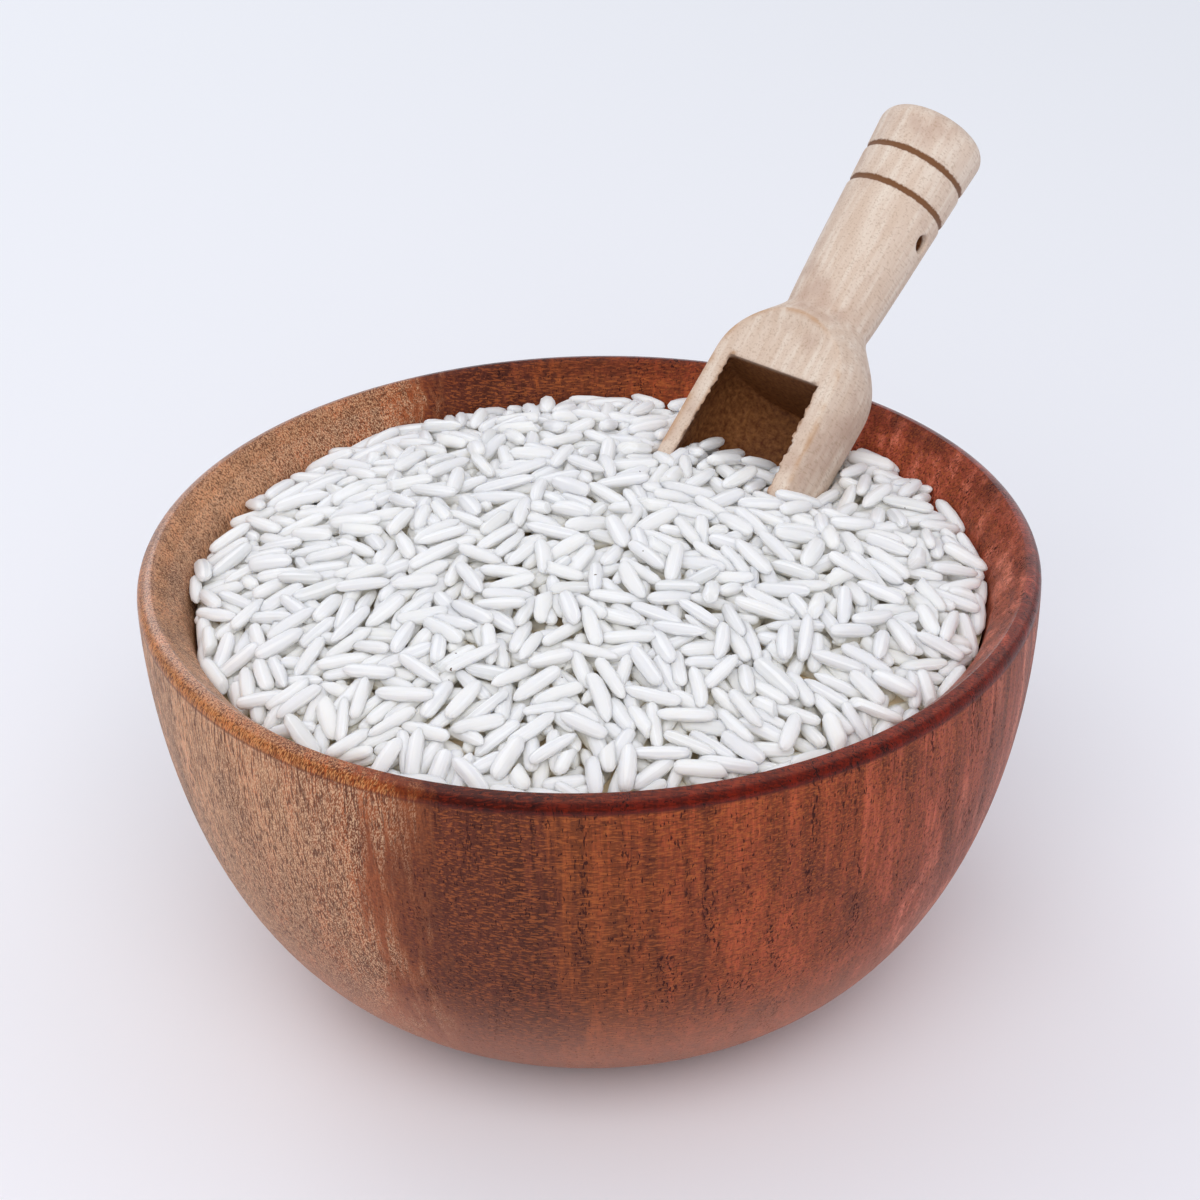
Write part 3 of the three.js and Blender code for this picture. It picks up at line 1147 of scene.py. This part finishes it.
@dataclass(frozen=True)
class GrainShape:
    """One long grain in its own frame, along +Z, blunt at its low end and tapered at its high end."""

    length: float
    width: float
    thick: float
    taper: float
    bend: float
    cut: float = 1.0

    sides = 8
    rings = 8
    crowding = 0.5

    def half_at(self, along: Any) -> Any:
        """Give the share of the full width at a place from -1 to 1 along the grain."""
        high, low = np.clip(along, 0, 1), np.clip(-along, 0, 1)
        pointed = np.clip(1 - high**5, 0, 1) ** 0.5 * (1 - self.taper * high**3)
        blunt = np.clip(1 - low**7, 0, 1) ** 0.5 * (1 - 0.1 * low)
        return pointed * blunt

    def model(self, name: str) -> bpy.types.Object:
        """Model the grain from a sphere, ring by ring.

        Args:
            name: The model's name.

        Returns:
            The model.
        """
        clear_selection()
        bpy.ops.mesh.primitive_uv_sphere_add(segments=self.sides, ring_count=self.rings, radius=1.0)
        grain = name_new(name)
        edit(grain)
        for ring in range(1, self.rings):
            height = -math.cos(math.pi * ring / self.rings)
            girth = math.sin(math.pi * ring / self.rings)
            pick(grain, lambda at: abs(at.z - height) < 0.01)
            place = math.copysign(abs(height) ** self.crowding, height) if abs(height) > 0.01 else 0.0
            wanted = float(self.half_at(place)) / girth
            bpy.ops.transform.resize(value=(wanted, wanted, 1))
            arch = self.bend * (1 - place * place)
            bpy.ops.transform.translate(value=(arch, 0, place - height))
        bpy.ops.mesh.select_all(action="SELECT")
        if self.cut < 1:
            place = 2 * self.cut - 1
            bpy.ops.mesh.bisect(plane_co=(0, 0, place), plane_no=(0.25, 0.1, 1), use_fill=True, clear_outer=True)
            bpy.ops.mesh.select_all(action="SELECT")
        size = (self.width / 2, self.thick / 2, self.length / 2)
        bpy.ops.transform.resize(value=size, center_override=(0, 0, 0))
        bpy.ops.mesh.normals_make_consistent(inside=False)
        bpy.ops.object.mode_set(mode="OBJECT")
        return grain


class GrainKind(Enum):
    """The kinds of grain in the heap, each a piece of its own."""

    LONG = "rice_long"
    PLUMP = "rice_plump"
    CURVED = "rice_curved"
    BROKEN = "rice_broken"
    CLEAR = "rice_clear"


SHARES = {
    GrainKind.LONG: 0.37,
    GrainKind.PLUMP: 0.28,
    GrainKind.CURVED: 0.17,
    GrainKind.BROKEN: 0.11,
    GrainKind.CLEAR: 0.07,
}

SHAPES = {
    GrainKind.LONG: (
        GrainShape(7.0 * MM, 2.1 * MM, 1.7 * MM, 0.32, 0.08),
        GrainShape(7.4 * MM, 2.0 * MM, 1.65 * MM, 0.48, 0.14),
        GrainShape(6.8 * MM, 2.0 * MM, 1.65 * MM, 0.55, -0.1),
    ),
    GrainKind.PLUMP: (
        GrainShape(6.4 * MM, 2.3 * MM, 1.85 * MM, 0.28, 0.05),
        GrainShape(6.7 * MM, 2.2 * MM, 1.75 * MM, 0.44, -0.06),
    ),
    GrainKind.CURVED: (
        GrainShape(7.1 * MM, 2.05 * MM, 1.65 * MM, 0.6, 0.3),
        GrainShape(6.6 * MM, 2.15 * MM, 1.7 * MM, 0.4, -0.26),
    ),
    GrainKind.BROKEN: (
        GrainShape(7.3 * MM, 2.2 * MM, 1.8 * MM, 0.4, 0.06, 0.7),
        GrainShape(7.0 * MM, 2.15 * MM, 1.75 * MM, 0.5, 0.1, 0.5),
        GrainShape(7.2 * MM, 2.2 * MM, 1.75 * MM, 0.3, 0.0, 0.84),
    ),
    GrainKind.CLEAR: (
        GrainShape(6.9 * MM, 2.2 * MM, 1.7 * MM, 0.36, 0.1),
        GrainShape(6.7 * MM, 2.25 * MM, 1.75 * MM, 0.3, -0.12),
    ),
}


@dataclass(frozen=True)
class GrainBody:
    """One grain of a drawn size, as the pouring sees it."""

    kind: GrainKind
    number: int
    size: np.ndarray

    stations = np.linspace(-0.96, 0.96, 15)
    side_shares = np.array([-0.62, -0.32, 0.0, 0.32, 0.62])

    @property
    def shape(self) -> GrainShape:
        """The grain's modelled shape."""
        return SHAPES[self.kind][self.number]

    @property
    def half(self) -> float:
        """Half of its length."""
        return self.shape.length * self.size[0] / 2 * self.shape.cut

    @property
    def wide(self) -> float:
        """Half of its width."""
        return self.shape.width * self.size[1] / 2

    @property
    def high(self) -> float:
        """Half of its thickness."""
        return self.shape.thick * self.size[2] / 2

    def girth_at(self, along: Any) -> Any:
        """Give the share of its full width at a place from -1 to 1 along it."""
        if self.shape.cut < 1:
            return np.where(np.abs(along) < 1, 0.9, 0.0)
        return self.shape.half_at(along)


@dataclass
class Lie:
    """Places and headings tried for a grain, and how it would rest at each: an endless height is no rest."""

    x: np.ndarray
    y: np.ndarray
    heading: np.ndarray
    level: np.ndarray
    slope: np.ndarray
    over: np.ndarray


@dataclass
class Grain:
    """One poured grain: its body, its middle, its heading, tilt and roll, and a number for its colour."""

    body: GrainBody
    middle: np.ndarray
    heading: float
    tilt: float
    roll: float
    tone: float


@dataclass
class Bed:
    """A height map of what the next grain rests on, with the origin in its middle."""

    cell: float
    heights: np.ndarray

    @property
    def middle(self) -> int:
        """The number of the middle column and row."""
        return self.heights.shape[0] // 2

    def cells(self, x: np.ndarray, y: np.ndarray) -> tuple[np.ndarray, np.ndarray]:
        """Give the column and row of places."""
        last = self.heights.shape[0] - 1
        column = np.clip(np.rint(x / self.cell).astype(int) + self.middle, 0, last)
        row = np.clip(np.rint(y / self.cell).astype(int) + self.middle, 0, last)
        return column, row

    def under(self, body: GrainBody, x: np.ndarray, y: np.ndarray, heading: np.ndarray) -> tuple[Any, Any]:
        """Find how a grain would lie at each of some places, on the two points that hold it up.

        Args:
            body: The grain.
            x: X of its middle, one for each place.
            y: Y of its middle.
            heading: Its heading.

        Returns:
            The height of its middle and its slope, one for each place.
        """
        girth = body.girth_at(body.stations)
        along = body.stations * body.half
        across = body.side_shares[:, None] * (body.wide * girth)[None, :]
        cosine, sine = np.cos(heading)[:, None, None], np.sin(heading)[:, None, None]
        column, row = self.cells(
            x[:, None, None] + along * cosine - across * sine,
            y[:, None, None] + along * sine + across * cosine,
        )
        lift = body.high * girth[None, :] * np.sqrt(1 - body.side_shares[:, None] ** 2)
        need = (self.heights[column, row] + lift).max(axis=1)
        low = np.nonzero(body.stations < -0.05)[0]
        high = np.nonzero(body.stations > 0.05)[0]
        left, right = along[low][None, :, None], along[high][None, None, :]
        at_middle = (need[:, low, None] * right - need[:, None, high] * left) / (right - left)
        flat = at_middle.reshape(len(x), -1)
        best = flat.argmax(axis=1)
        level = flat[np.arange(len(x)), best]
        i, j = low[best // len(high)], high[best % len(high)]
        each = np.arange(len(x))
        slope = (need[each, j] - need[each, i]) / (along[j] - along[i])
        return level, slope

    def raise_under(self, body: GrainBody, x: float, y: float, level: float, heading: float, slope: float) -> None:
        """Raise the map to the top of a grain that has come to rest.

        Args:
            body: The grain.
            x: X of its middle.
            y: Y of its middle.
            level: Height of its middle.
            heading: Its heading.
            slope: Its rise for each length along its heading.
        """
        reach = int(math.ceil(body.half / self.cell)) + 1
        column, row = int(round(x / self.cell)) + self.middle, int(round(y / self.cell)) + self.middle
        count = self.heights.shape[0]
        c0, c1 = max(column - reach, 0), min(column + reach + 1, count)
        r0, r1 = max(row - reach, 0), min(row + reach + 1, count)
        gx = ((np.arange(c0, c1) - self.middle) * self.cell - x)[:, None]
        gy = ((np.arange(r0, r1) - self.middle) * self.cell - y)[None, :]
        along = gx * math.cos(heading) + gy * math.sin(heading)
        across = gy * math.cos(heading) - gx * math.sin(heading)
        run = body.half / math.hypot(1, slope)
        half_width = body.wide * body.girth_at(np.clip(along / run, -1, 1))
        inside = (np.abs(along) < run) & (np.abs(across) < half_width)
        share = np.where(inside, across / np.maximum(half_width, 1e-9), 0)
        top = level + slope * along + body.high * half_width / body.wide * np.sqrt(1 - share**2)
        patch = self.heights[c0:c1, r0:r1]
        np.maximum(patch, np.where(inside, top, -1.0), out=patch)

    def averaged(self, reach: float) -> np.ndarray:
        """Give the map with each height replaced by the mean of the square round it."""
        steps = int(round(reach / self.cell))
        wide = 2 * steps + 1
        padded = np.pad(self.heights, steps + 1, mode="edge")
        total = padded.cumsum(axis=0).cumsum(axis=1)
        area = total[wide:, wide:] - total[:-wide, wide:] - total[wide:, :-wide] + total[:-wide, :-wide]
        return area[:self.heights.shape[0], :self.heights.shape[1]] / wide**2


@dataclass(frozen=True)
class Pour:
    """One pour of grains: how many, how hard each looks for a low place, and how high it may lie."""

    most_grains: int
    most_misses: int
    tries: int
    settle_steps: tuple[float, ...]
    high_point: float
    high_tip: float
    sink: float


@dataclass
class RiceHeap:
    """The rice: a core that fills the bowl, and loose grains poured on it up to the heap's outline."""

    bowl: TurnedBowl
    scoop: TurnedScoop
    edge_drop: float = 5.0 * MM
    rise: float = 9 * MM
    edge_radius: float = 51.2 * MM
    dips: tuple[tuple[float, float, float, float], ...] = (
        (25.5 * MM, 29.0 * MM, 6.5 * MM, 4.6 * MM),
        (31.5 * MM, 13.5 * MM, 5.5 * MM, 2.6 * MM),
    )
    core_depth: float = 3.9 * MM
    gap: float = 0.3 * MM
    cell: float = 0.25 * MM
    pours: tuple[Pour, ...] = (
        Pour(2600, 160, 9, (0.9 * MM, 0.5 * MM, 0.25 * MM), 0.0 * MM, 1.1 * MM, 0.35 * MM),
        Pour(900, 300, 3, (0.3 * MM,), 0.8 * MM, 1.8 * MM, 0.3 * MM),
        Pour(900, 300, 24, (0.8 * MM, 0.4 * MM), 0.25 * MM, 1.3 * MM, 0.7 * MM),
    )
    steepest: float = 0.75
    shade_reach: float = 1.5 * MM
    shade_depth: float = 2.6 * MM
    seed: int = 20451
    grains: list[Grain] = field(default_factory=list)

    def dome(self, x: Any, y: Any) -> Any:
        """Give the height of the heap's smooth dome."""
        return self.bowl.height - self.edge_drop + self.rise * (1 - (x * x + y * y) / self.edge_radius**2)

    def outline(self, x: Any, y: Any) -> Any:
        """Give the height that the loose grains reach: the dome, with dips in and beside the scoop."""
        level = self.dome(x, y)
        for middle_x, middle_y, reach, depth in self.dips:
            off = ((x - middle_x) ** 2 + (y - middle_y) ** 2) / reach**2
            level = level - depth * np.exp(-off)
        return level

    def core(self) -> bpy.types.Object:
        """Turn the core under the loose grains, make it lumpy and cut the scoop's room out of it.

        Returns:
            The core.
        """
        wall = []
        for share in [step**1.2 for step in shares(36, 1)]:
            radius, height = self.bowl.cavity_wall(share)
            if height < self.bowl.height - self.edge_drop - 0.5 * self.core_depth:
                wall.append((max(radius - 1.2 * self.gap, 0.0), height + self.gap))
        edge = wall[0][0]
        top = []
        for share in shares(40)[:-1]:
            radius = edge * (1 - share)
            depth = self.core_depth * min(1.0, 0.72 + share)
            top.append((radius, float(self.dome(radius, 0.0)) - depth))
        profile = [*reversed(wall), *top, (0.0, float(self.dome(0.0, 0.0)) - self.core_depth)]
        core = turn("rice_core", profile, (0, 0, 1), 120)
        lumps = bpy.data.textures.new("lumps", "CLOUDS")
        lumps.noise_scale = 2.2 * MM
        group = core.vertex_groups.new(name="top")
        floor = self.bowl.height - self.edge_drop - 1.2 * self.core_depth
        raised = [v.index for v in core.data.vertices if v.co.z > floor and v.co.xy.length < edge - 1 * MM]
        group.add(raised, 1.0, "REPLACE")
        finish_modifier(core, "DISPLACE", texture=lumps, strength=1.6 * MM, direction="Z", vertex_group="top")
        deepest = max(dip[3] for dip in self.dips)
        dips = core.vertex_groups.new(name="dips")
        for index in raised:
            x, y, _ = core.data.vertices[index].co
            dips.add([index], float(self.dome(x, y) - self.outline(x, y)) / deepest, "REPLACE")
        finish_modifier(core, "DISPLACE", strength=-deepest, mid_level=0.0, direction="Z", vertex_group="dips")
        core.vertex_groups.clear()
        carve(core, self.scoop.envelope(self.gap))
        take(core)
        bpy.ops.object.shade_smooth()
        return core

    def bed(self, core: bpy.types.Object, scoop: bpy.types.Object) -> Bed:
        """Measure what the first grains rest on: the core, the bowl's wall and the scoop where it is low.

        Args:
            core: The core.
            scoop: The scoop.

        Returns:
            The height map.
        """
        count = 2 * int(math.ceil(self.bowl.radius / self.cell)) + 1
        line = (np.arange(count) - count // 2) * self.cell
        x, y = np.meshgrid(line, line, indexing="ij")
        depsgraph = bpy.context.evaluated_depsgraph_get()
        core_tree = BVHTree.FromObject(core, depsgraph)
        scoop_tree = BVHTree.FromObject(scoop, depsgraph)
        low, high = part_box("scoop")
        sky = 2 * high.z
        down = Vector((0, 0, -1))
        off = np.hypot(x, y)
        wall_points = [self.bowl.cavity_wall(share) for share in shares(400)]
        wall_points += [self.bowl.lip_bead(1 - share) for share in shares(40)]
        wall_points.sort()
        radii = np.array([point[0] for point in wall_points])
        heights = np.array([point[1] for point in wall_points])
        ground = np.interp(off, radii, heights)
        reach = self.edge_radius + 1 * MM
        for i, j in np.argwhere(off < reach):
            hit = core_tree.ray_cast(Vector((x[i, j], y[i, j], sky)), down)[0]
            if hit is not None:
                ground[i, j] = max(ground[i, j], hit.z)
        margin = 1 * MM
        inside = (x > low.x - margin) & (x < high.x + margin) & (y > low.y - margin) & (y < high.y + margin)
        for i, j in np.argwhere(inside & (off < reach)):
            hit = scoop_tree.ray_cast(Vector((x[i, j], y[i, j], sky)), down)[0]
            if hit is not None and hit.z < self.outline(x[i, j], y[i, j]) + 1.2 * MM:
                ground[i, j] = max(ground[i, j], hit.z)
        return Bed(self.cell, ground)

    def headings(self, x: np.ndarray, y: np.ndarray, draw: np.random.Generator) -> np.ndarray:
        """Draw headings: any way on top of the heap, and more down its fall towards the edge.

        Args:
            x: X of the grains' middles.
            y: Y of the grains' middles.
            draw: The random draw.

        Returns:
            A heading for each place.
        """
        away = np.arctan2(y, x)
        share = np.minimum(1.0, np.hypot(x, y) / self.edge_radius)
        down_fall = draw.random(len(x)) < 0.35 + 0.3 * share
        lean = np.where(down_fall, draw.normal(0.0, 0.75, len(x)), draw.uniform(0, math.pi, len(x)))
        return away + lean + np.where(draw.random(len(x)) < 0.5, math.pi, 0.0)

    def rest(
        self, pour: Pour, bed: Bed, body: GrainBody, x: np.ndarray, y: np.ndarray, heading: np.ndarray
    ) -> Lie:
        """Lay a grain at each of some places, and rule out those where it can't stay.

        Args:
            pour: The pour that it is part of.
            bed: The height map.
            body: The grain.
            x: X of its middle, one for each place.
            y: Y of its middle.
            heading: Its heading.

        Returns:
            How it rests at each place.
        """
        level, slope = bed.under(body, x, y, heading)
        level = level - pour.sink
        over = level - self.outline(x, y)
        ahead = np.stack((np.cos(heading), np.sin(heading), slope), axis=1) / np.hypot(1, slope)[:, None]
        middle = np.stack((x, y, level), axis=1)
        line = middle[:, None, :] + (body.stations * body.half)[None, :, None] * ahead[:, None, :]
        tips = line[:, [0, -1]]
        high_tip = tips[..., 2] + 0.5 * body.high - self.outline(tips[..., 0], tips[..., 1])
        girth = body.girth_at(body.stations)
        clear = (self.scoop.distance(line) - 0.92 * body.high * girth).min(axis=1)
        wrong = (np.abs(slope) > self.steepest) | (high_tip.max(axis=1) > pour.high_tip) | (clear < 0.05 * MM)
        wrong |= np.hypot(x, y) > self.edge_radius + 0.4 * MM
        return Lie(x, y, heading, level, slope, np.where(wrong, np.inf, over))

    def drop(self, pour: Pour, bed: Bed, body: GrainBody, draw: np.random.Generator) -> Grain | None:
        """Drop one grain: it takes the lowest of a few drawn places and slides into the hollow there.

        Args:
            pour: The pour that it is part of.
            bed: The height map, raised by the grain.
            body: The grain.
            draw: The random draw.

        Returns:
            The grain at rest, or nothing if it found no room.
        """
        reach = (self.edge_radius + 0.3 * MM) * np.sqrt(draw.random(pour.tries))
        around = draw.uniform(0, math.tau, pour.tries)
        x, y = reach * np.cos(around), reach * np.sin(around)
        lie = self.rest(pour, bed, body, x, y, self.headings(x, y, draw))
        for step in pour.settle_steps:
            best = int(lie.over.argmin())
            if not np.isfinite(lie.over[best]):
                return None
            shift = draw.normal(0.0, 1.0, (3, pour.tries)) * step
            shift[:, 0] = 0
            turned = lie.heading[best] + shift[2] / body.half
            lie = self.rest(pour, bed, body, lie.x[best] + shift[0], lie.y[best] + shift[1], turned)
        best = int(lie.over.argmin())
        if lie.over[best] > pour.high_point:
            return None
        x, y, level = float(lie.x[best]), float(lie.y[best]), float(lie.level[best])
        heading, slope = float(lie.heading[best]), float(lie.slope[best])
        bed.raise_under(body, x, y, level, heading, slope)
        return Grain(body, np.array((x, y, level)), heading, math.atan(slope), draw.normal(0, 0.35), draw.random())

    def pour(self, bed: Bed) -> None:
        """Pour grains until hardly any finds room under the outline.

        Args:
            bed: The height map, raised by each grain.
        """
        draw = np.random.default_rng(self.seed)
        kinds = list(SHARES)
        chances = np.cumsum([SHARES[kind] for kind in kinds])
        for pour in self.pours:
            poured, missed = 0, 0
            while poured < pour.most_grains and missed < pour.most_misses:
                kind = kinds[int(np.searchsorted(chances, draw.random() * chances[-1]))]
                number = int(draw.integers(len(SHAPES[kind])))
                size = draw.normal((1.0, 1.0, 1.0), (0.06, 0.06, 0.05)).clip(0.86, 1.13)
                grain = self.drop(pour, bed, GrainBody(kind, number, size), draw)
                if grain is None:
                    missed += 1
                    continue
                self.grains.append(grain)
                poured += 1
            log.info("%d grains poured", poured)

    def placed(self, grain: Grain, model: bpy.types.Object) -> np.ndarray:
        """Give a modelled grain's vertices where the poured grain lies.

        Args:
            grain: The poured grain.
            model: Its shape's model.

        Returns:
            One row for each vertex.
        """
        own = places_of(model)
        own -= own.mean(axis=0) * (0, 0, 1)
        size = grain.body.size
        own = own * (size[1], size[2], size[0])
        c, s = math.cos(grain.roll), math.sin(grain.roll)
        rolled = np.column_stack((own[:, 2], own[:, 0] * c - own[:, 1] * s, own[:, 0] * s + own[:, 1] * c))
        c, s = math.cos(grain.tilt), math.sin(grain.tilt)
        tilted = rolled @ np.array(((c, 0, s), (0, 1, 0), (-s, 0, c)))
        c, s = math.cos(grain.heading), math.sin(grain.heading)
        return tilted @ np.array(((c, s, 0), (-s, c, 0), (0, 0, 1))) + grain.middle

    def join(self, kind: GrainKind, models: Sequence[bpy.types.Object], bed: Bed) -> bpy.types.Object:
        """Join all grains of a kind into one mesh, from arrays.

        Args:
            kind: The kind of grain.
            models: The kind's modelled shapes.
            bed: The height map of the finished heap.

        Returns:
            The piece.
        """
        points, corners, totals, wraps, tones = [], [], [], [], []
        start = 0
        for grain in self.grains:
            if grain.body.kind is not kind:
                continue
            model = models[grain.body.number]
            mesh = model.data
            points.append(self.placed(grain, model))
            loops = np.empty(len(mesh.loops), dtype=np.int32)
            mesh.loops.foreach_get("vertex_index", loops)
            corners.append(loops + start)
            sizes = np.empty(len(mesh.polygons), dtype=np.int32)
            mesh.polygons.foreach_get("loop_total", sizes)
            totals.append(sizes)
            wrap = np.zeros(2 * len(mesh.loops), dtype=np.float32)
            mesh.uv_layers[0].data.foreach_get("uv", wrap)
            wraps.append(wrap.reshape(-1, 2) + (0, 7 * grain.tone))
            tones.append(np.full(len(mesh.vertices), grain.tone))
            start += len(mesh.vertices)
        places = np.concatenate(points)
        loops = np.concatenate(corners)
        sizes = np.concatenate(totals)
        mesh = bpy.data.meshes.new(kind.value)
        mesh.vertices.add(len(places))
        mesh.vertices.foreach_set("co", places.astype(np.float32).ravel())
        mesh.loops.add(len(loops))
        mesh.loops.foreach_set("vertex_index", loops)
        mesh.polygons.add(len(sizes))
        mesh.polygons.foreach_set("loop_start", np.concatenate(([0], np.cumsum(sizes)[:-1])).astype(np.int32))
        mesh.polygons.foreach_set("loop_total", sizes)
        mesh.update(calc_edges=True)
        mesh.validate()
        layer = mesh.uv_layers.new(name="wrap")
        layer.data.foreach_set("uv", np.concatenate(wraps).astype(np.float32).ravel())
        piece = bpy.data.objects.new(kind.value, mesh)
        bpy.context.scene.collection.objects.link(piece)
        store(piece, "tone", np.concatenate(tones))
        # depth under the local top, for the painted light and shade between the grains
        top = bed.averaged(self.shade_reach)[bed.cells(places[:, 0], places[:, 1])]
        store(piece, "depth", np.clip((top - places[:, 2]) / self.shade_depth, 0, 1))
        smooth_by_angle(piece, 60)
        return piece

    def build(self, scoop: bpy.types.Object) -> list[bpy.types.Object]:
        """Make the core and pour the grains.

        Args:
            scoop: The finished scoop.

        Returns:
            The core and a piece for each kind of grain.
        """
        core = self.core()
        # the core takes the full painted light and shade of the deepest gaps
        store(core, "depth", np.ones(len(core.data.vertices)))
        store(core, "tone", np.full(len(core.data.vertices), 0.5))
        bed = self.bed(core, scoop)
        self.pour(bed)
        white = RiceFinish("rice_white", "e8e8ea", "fcfaf4", "faf1e0", 0.8, 0.4).material()
        finishes = {
            GrainKind.LONG: white,
            GrainKind.PLUMP: white,
            GrainKind.CURVED: white,
            GrainKind.BROKEN: RiceFinish("rice_chalky", "eeeeed", "fcfaf4", "faf1e0", 0.7, 0.5).material(),
            GrainKind.CLEAR: RiceFinish("rice_glassy", "dfe0e1", "f6f3ec", "f4e9d4", 1.0, 0.3).material(),
        }
        hand_in(core, "rice", RiceFinish("rice_depths_painted_gap_tint", "faf3e6", "f8eedb", "efdcba", 0.0, 0.6).material())
        pieces = [core]
        for kind, finish in finishes.items():
            models = [shape.model(f"{kind.value}_model_{i}") for i, shape in enumerate(SHAPES[kind])]
            piece = self.join(kind, models, bed)
            for model in models:
                bpy.data.objects.remove(model, do_unlink=True)
            hand_in(piece, "rice", finish)
            pieces.append(piece)
        return pieces


# The studio


@dataclass
class Studio:
    """A pale floor, soft light and the photograph's camera."""

    aim: Point = (1.326 * MM, 0.0, 50.571 * MM)
    elevation: float = 30.507
    roll: float = -1.369
    distance: float = 400 * MM
    lens: float = 93.02
    sensor: float = 36.0
    floor_size: float = 6.0
    bounces: int = 6

    def camera(self) -> bpy.types.Object:
        """Place the camera.

        Returns:
            The camera.
        """
        rise, roll = math.radians(self.elevation), math.radians(self.roll)
        ahead = Vector((0, math.cos(rise), -math.sin(rise)))
        level, upright = Vector((1, 0, 0)), Vector((0, math.sin(rise), math.cos(rise)))
        right = level * math.cos(roll) + upright * math.sin(roll)
        up = upright * math.cos(roll) - level * math.sin(roll)
        data = bpy.data.cameras.new("camera")
        data.lens = self.lens
        data.sensor_width = self.sensor
        data.clip_start = 0.01
        camera = bpy.data.objects.new("camera", data)
        turn_matrix = Matrix((right, up, -ahead)).transposed().to_4x4()
        camera.matrix_world = Matrix.Translation(Vector(self.aim) - ahead * self.distance) @ turn_matrix
        bpy.context.scene.collection.objects.link(camera)
        bpy.context.scene.camera = camera
        return camera

    def floor(self) -> bpy.types.Object:
        """Lay the floor.

        Returns:
            The floor.
        """
        clear_selection()
        bpy.ops.mesh.primitive_plane_add(size=self.floor_size, location=(0, 0, 0))
        floor = name_new("floor")
        floor.data.materials.append(FloorFinish().material())
        return floor

    def lamp(
        self, name: str, place: Point, size: float, power: float, colour: str, mirrored: bool
    ) -> bpy.types.Object:
        """Hang a soft box that faces the bowl.

        Args:
            name: The light's name.
            place: Where it hangs.
            size: Its side.
            power: Its watts.
            colour: Its screen colour.
            mirrored: Whether glossy surfaces reflect it.

        Returns:
            The light.
        """
        data = bpy.data.lights.new(name, "AREA")
        data.shape = "SQUARE"
        data.size = size
        data.energy = power
        data.color = paint(colour)[:3]
        lamp = bpy.data.objects.new(name, data)
        lamp.location = place
        lamp.visible_glossy = mirrored
        lamp.rotation_euler = (Vector(self.aim) - Vector(place)).to_track_quat("-Z", "Y").to_euler()
        bpy.context.scene.collection.objects.link(lamp)
        return lamp

    def build(self) -> None:
        """Set up the floor, the lights and the camera."""
        self.camera()
        self.floor()
        self.lamp("soft_key", (-0.06, -0.68, 0.7), 0.9, 5.9, "fffefc", False)
        self.lamp("soft_back", (-0.4, 0.6, 0.45), 0.35, 0.7, "fbfcff", True)
        self.room()
        bpy.context.scene.view_settings.view_transform = "Standard"
        bpy.context.scene.cycles.max_bounces = self.bounces
        bpy.context.scene.cycles.diffuse_bounces = self.bounces

    def room(self) -> None:
        """Surround the floor with a pale room that is darker low on the camera's side."""
        world = bpy.data.worlds.new("studio")
        world.use_nodes = True
        pen = Pen(world.node_tree)
        way = pen.node("ShaderNodeTexCoord").outputs["Generated"]
        parts = pen.node("ShaderNodeSeparateXYZ", {0: way}).outputs
        bright = pen.calc("ADD", parts[1], pen.calc("MULTIPLY", parts[2], 1.2))
        bright = pen.calc("ADD", bright, pen.calc("MULTIPLY", parts[0], 0.25))
        strength = pen.spread(bright, -0.9, 0.9, 0.29, 0.75)
        background = pen.node("ShaderNodeBackground", {"Color": paint("f2f4fb"), "Strength": strength})
        output = pen.node("ShaderNodeOutputWorld")
        pen.tree.links.new(background.outputs[0], output.inputs[0])
        bpy.context.scene.world = world


def main() -> None:
    """Build the bowl, the scoop and the rice in the studio."""
    logging.basicConfig(level=logging.INFO, format="%(name)s: %(message)s", force=True)
    Studio().build()
    low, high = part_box("bowl")
    bowl = TurnedBowl(radius=high.x, height=high.z)
    bowl.build()
    scoop = TurnedScoop()
    scoop_piece = scoop.build()
    RiceHeap(bowl, scoop).build(scoop_piece)


if __name__ == "__main__":
    main()
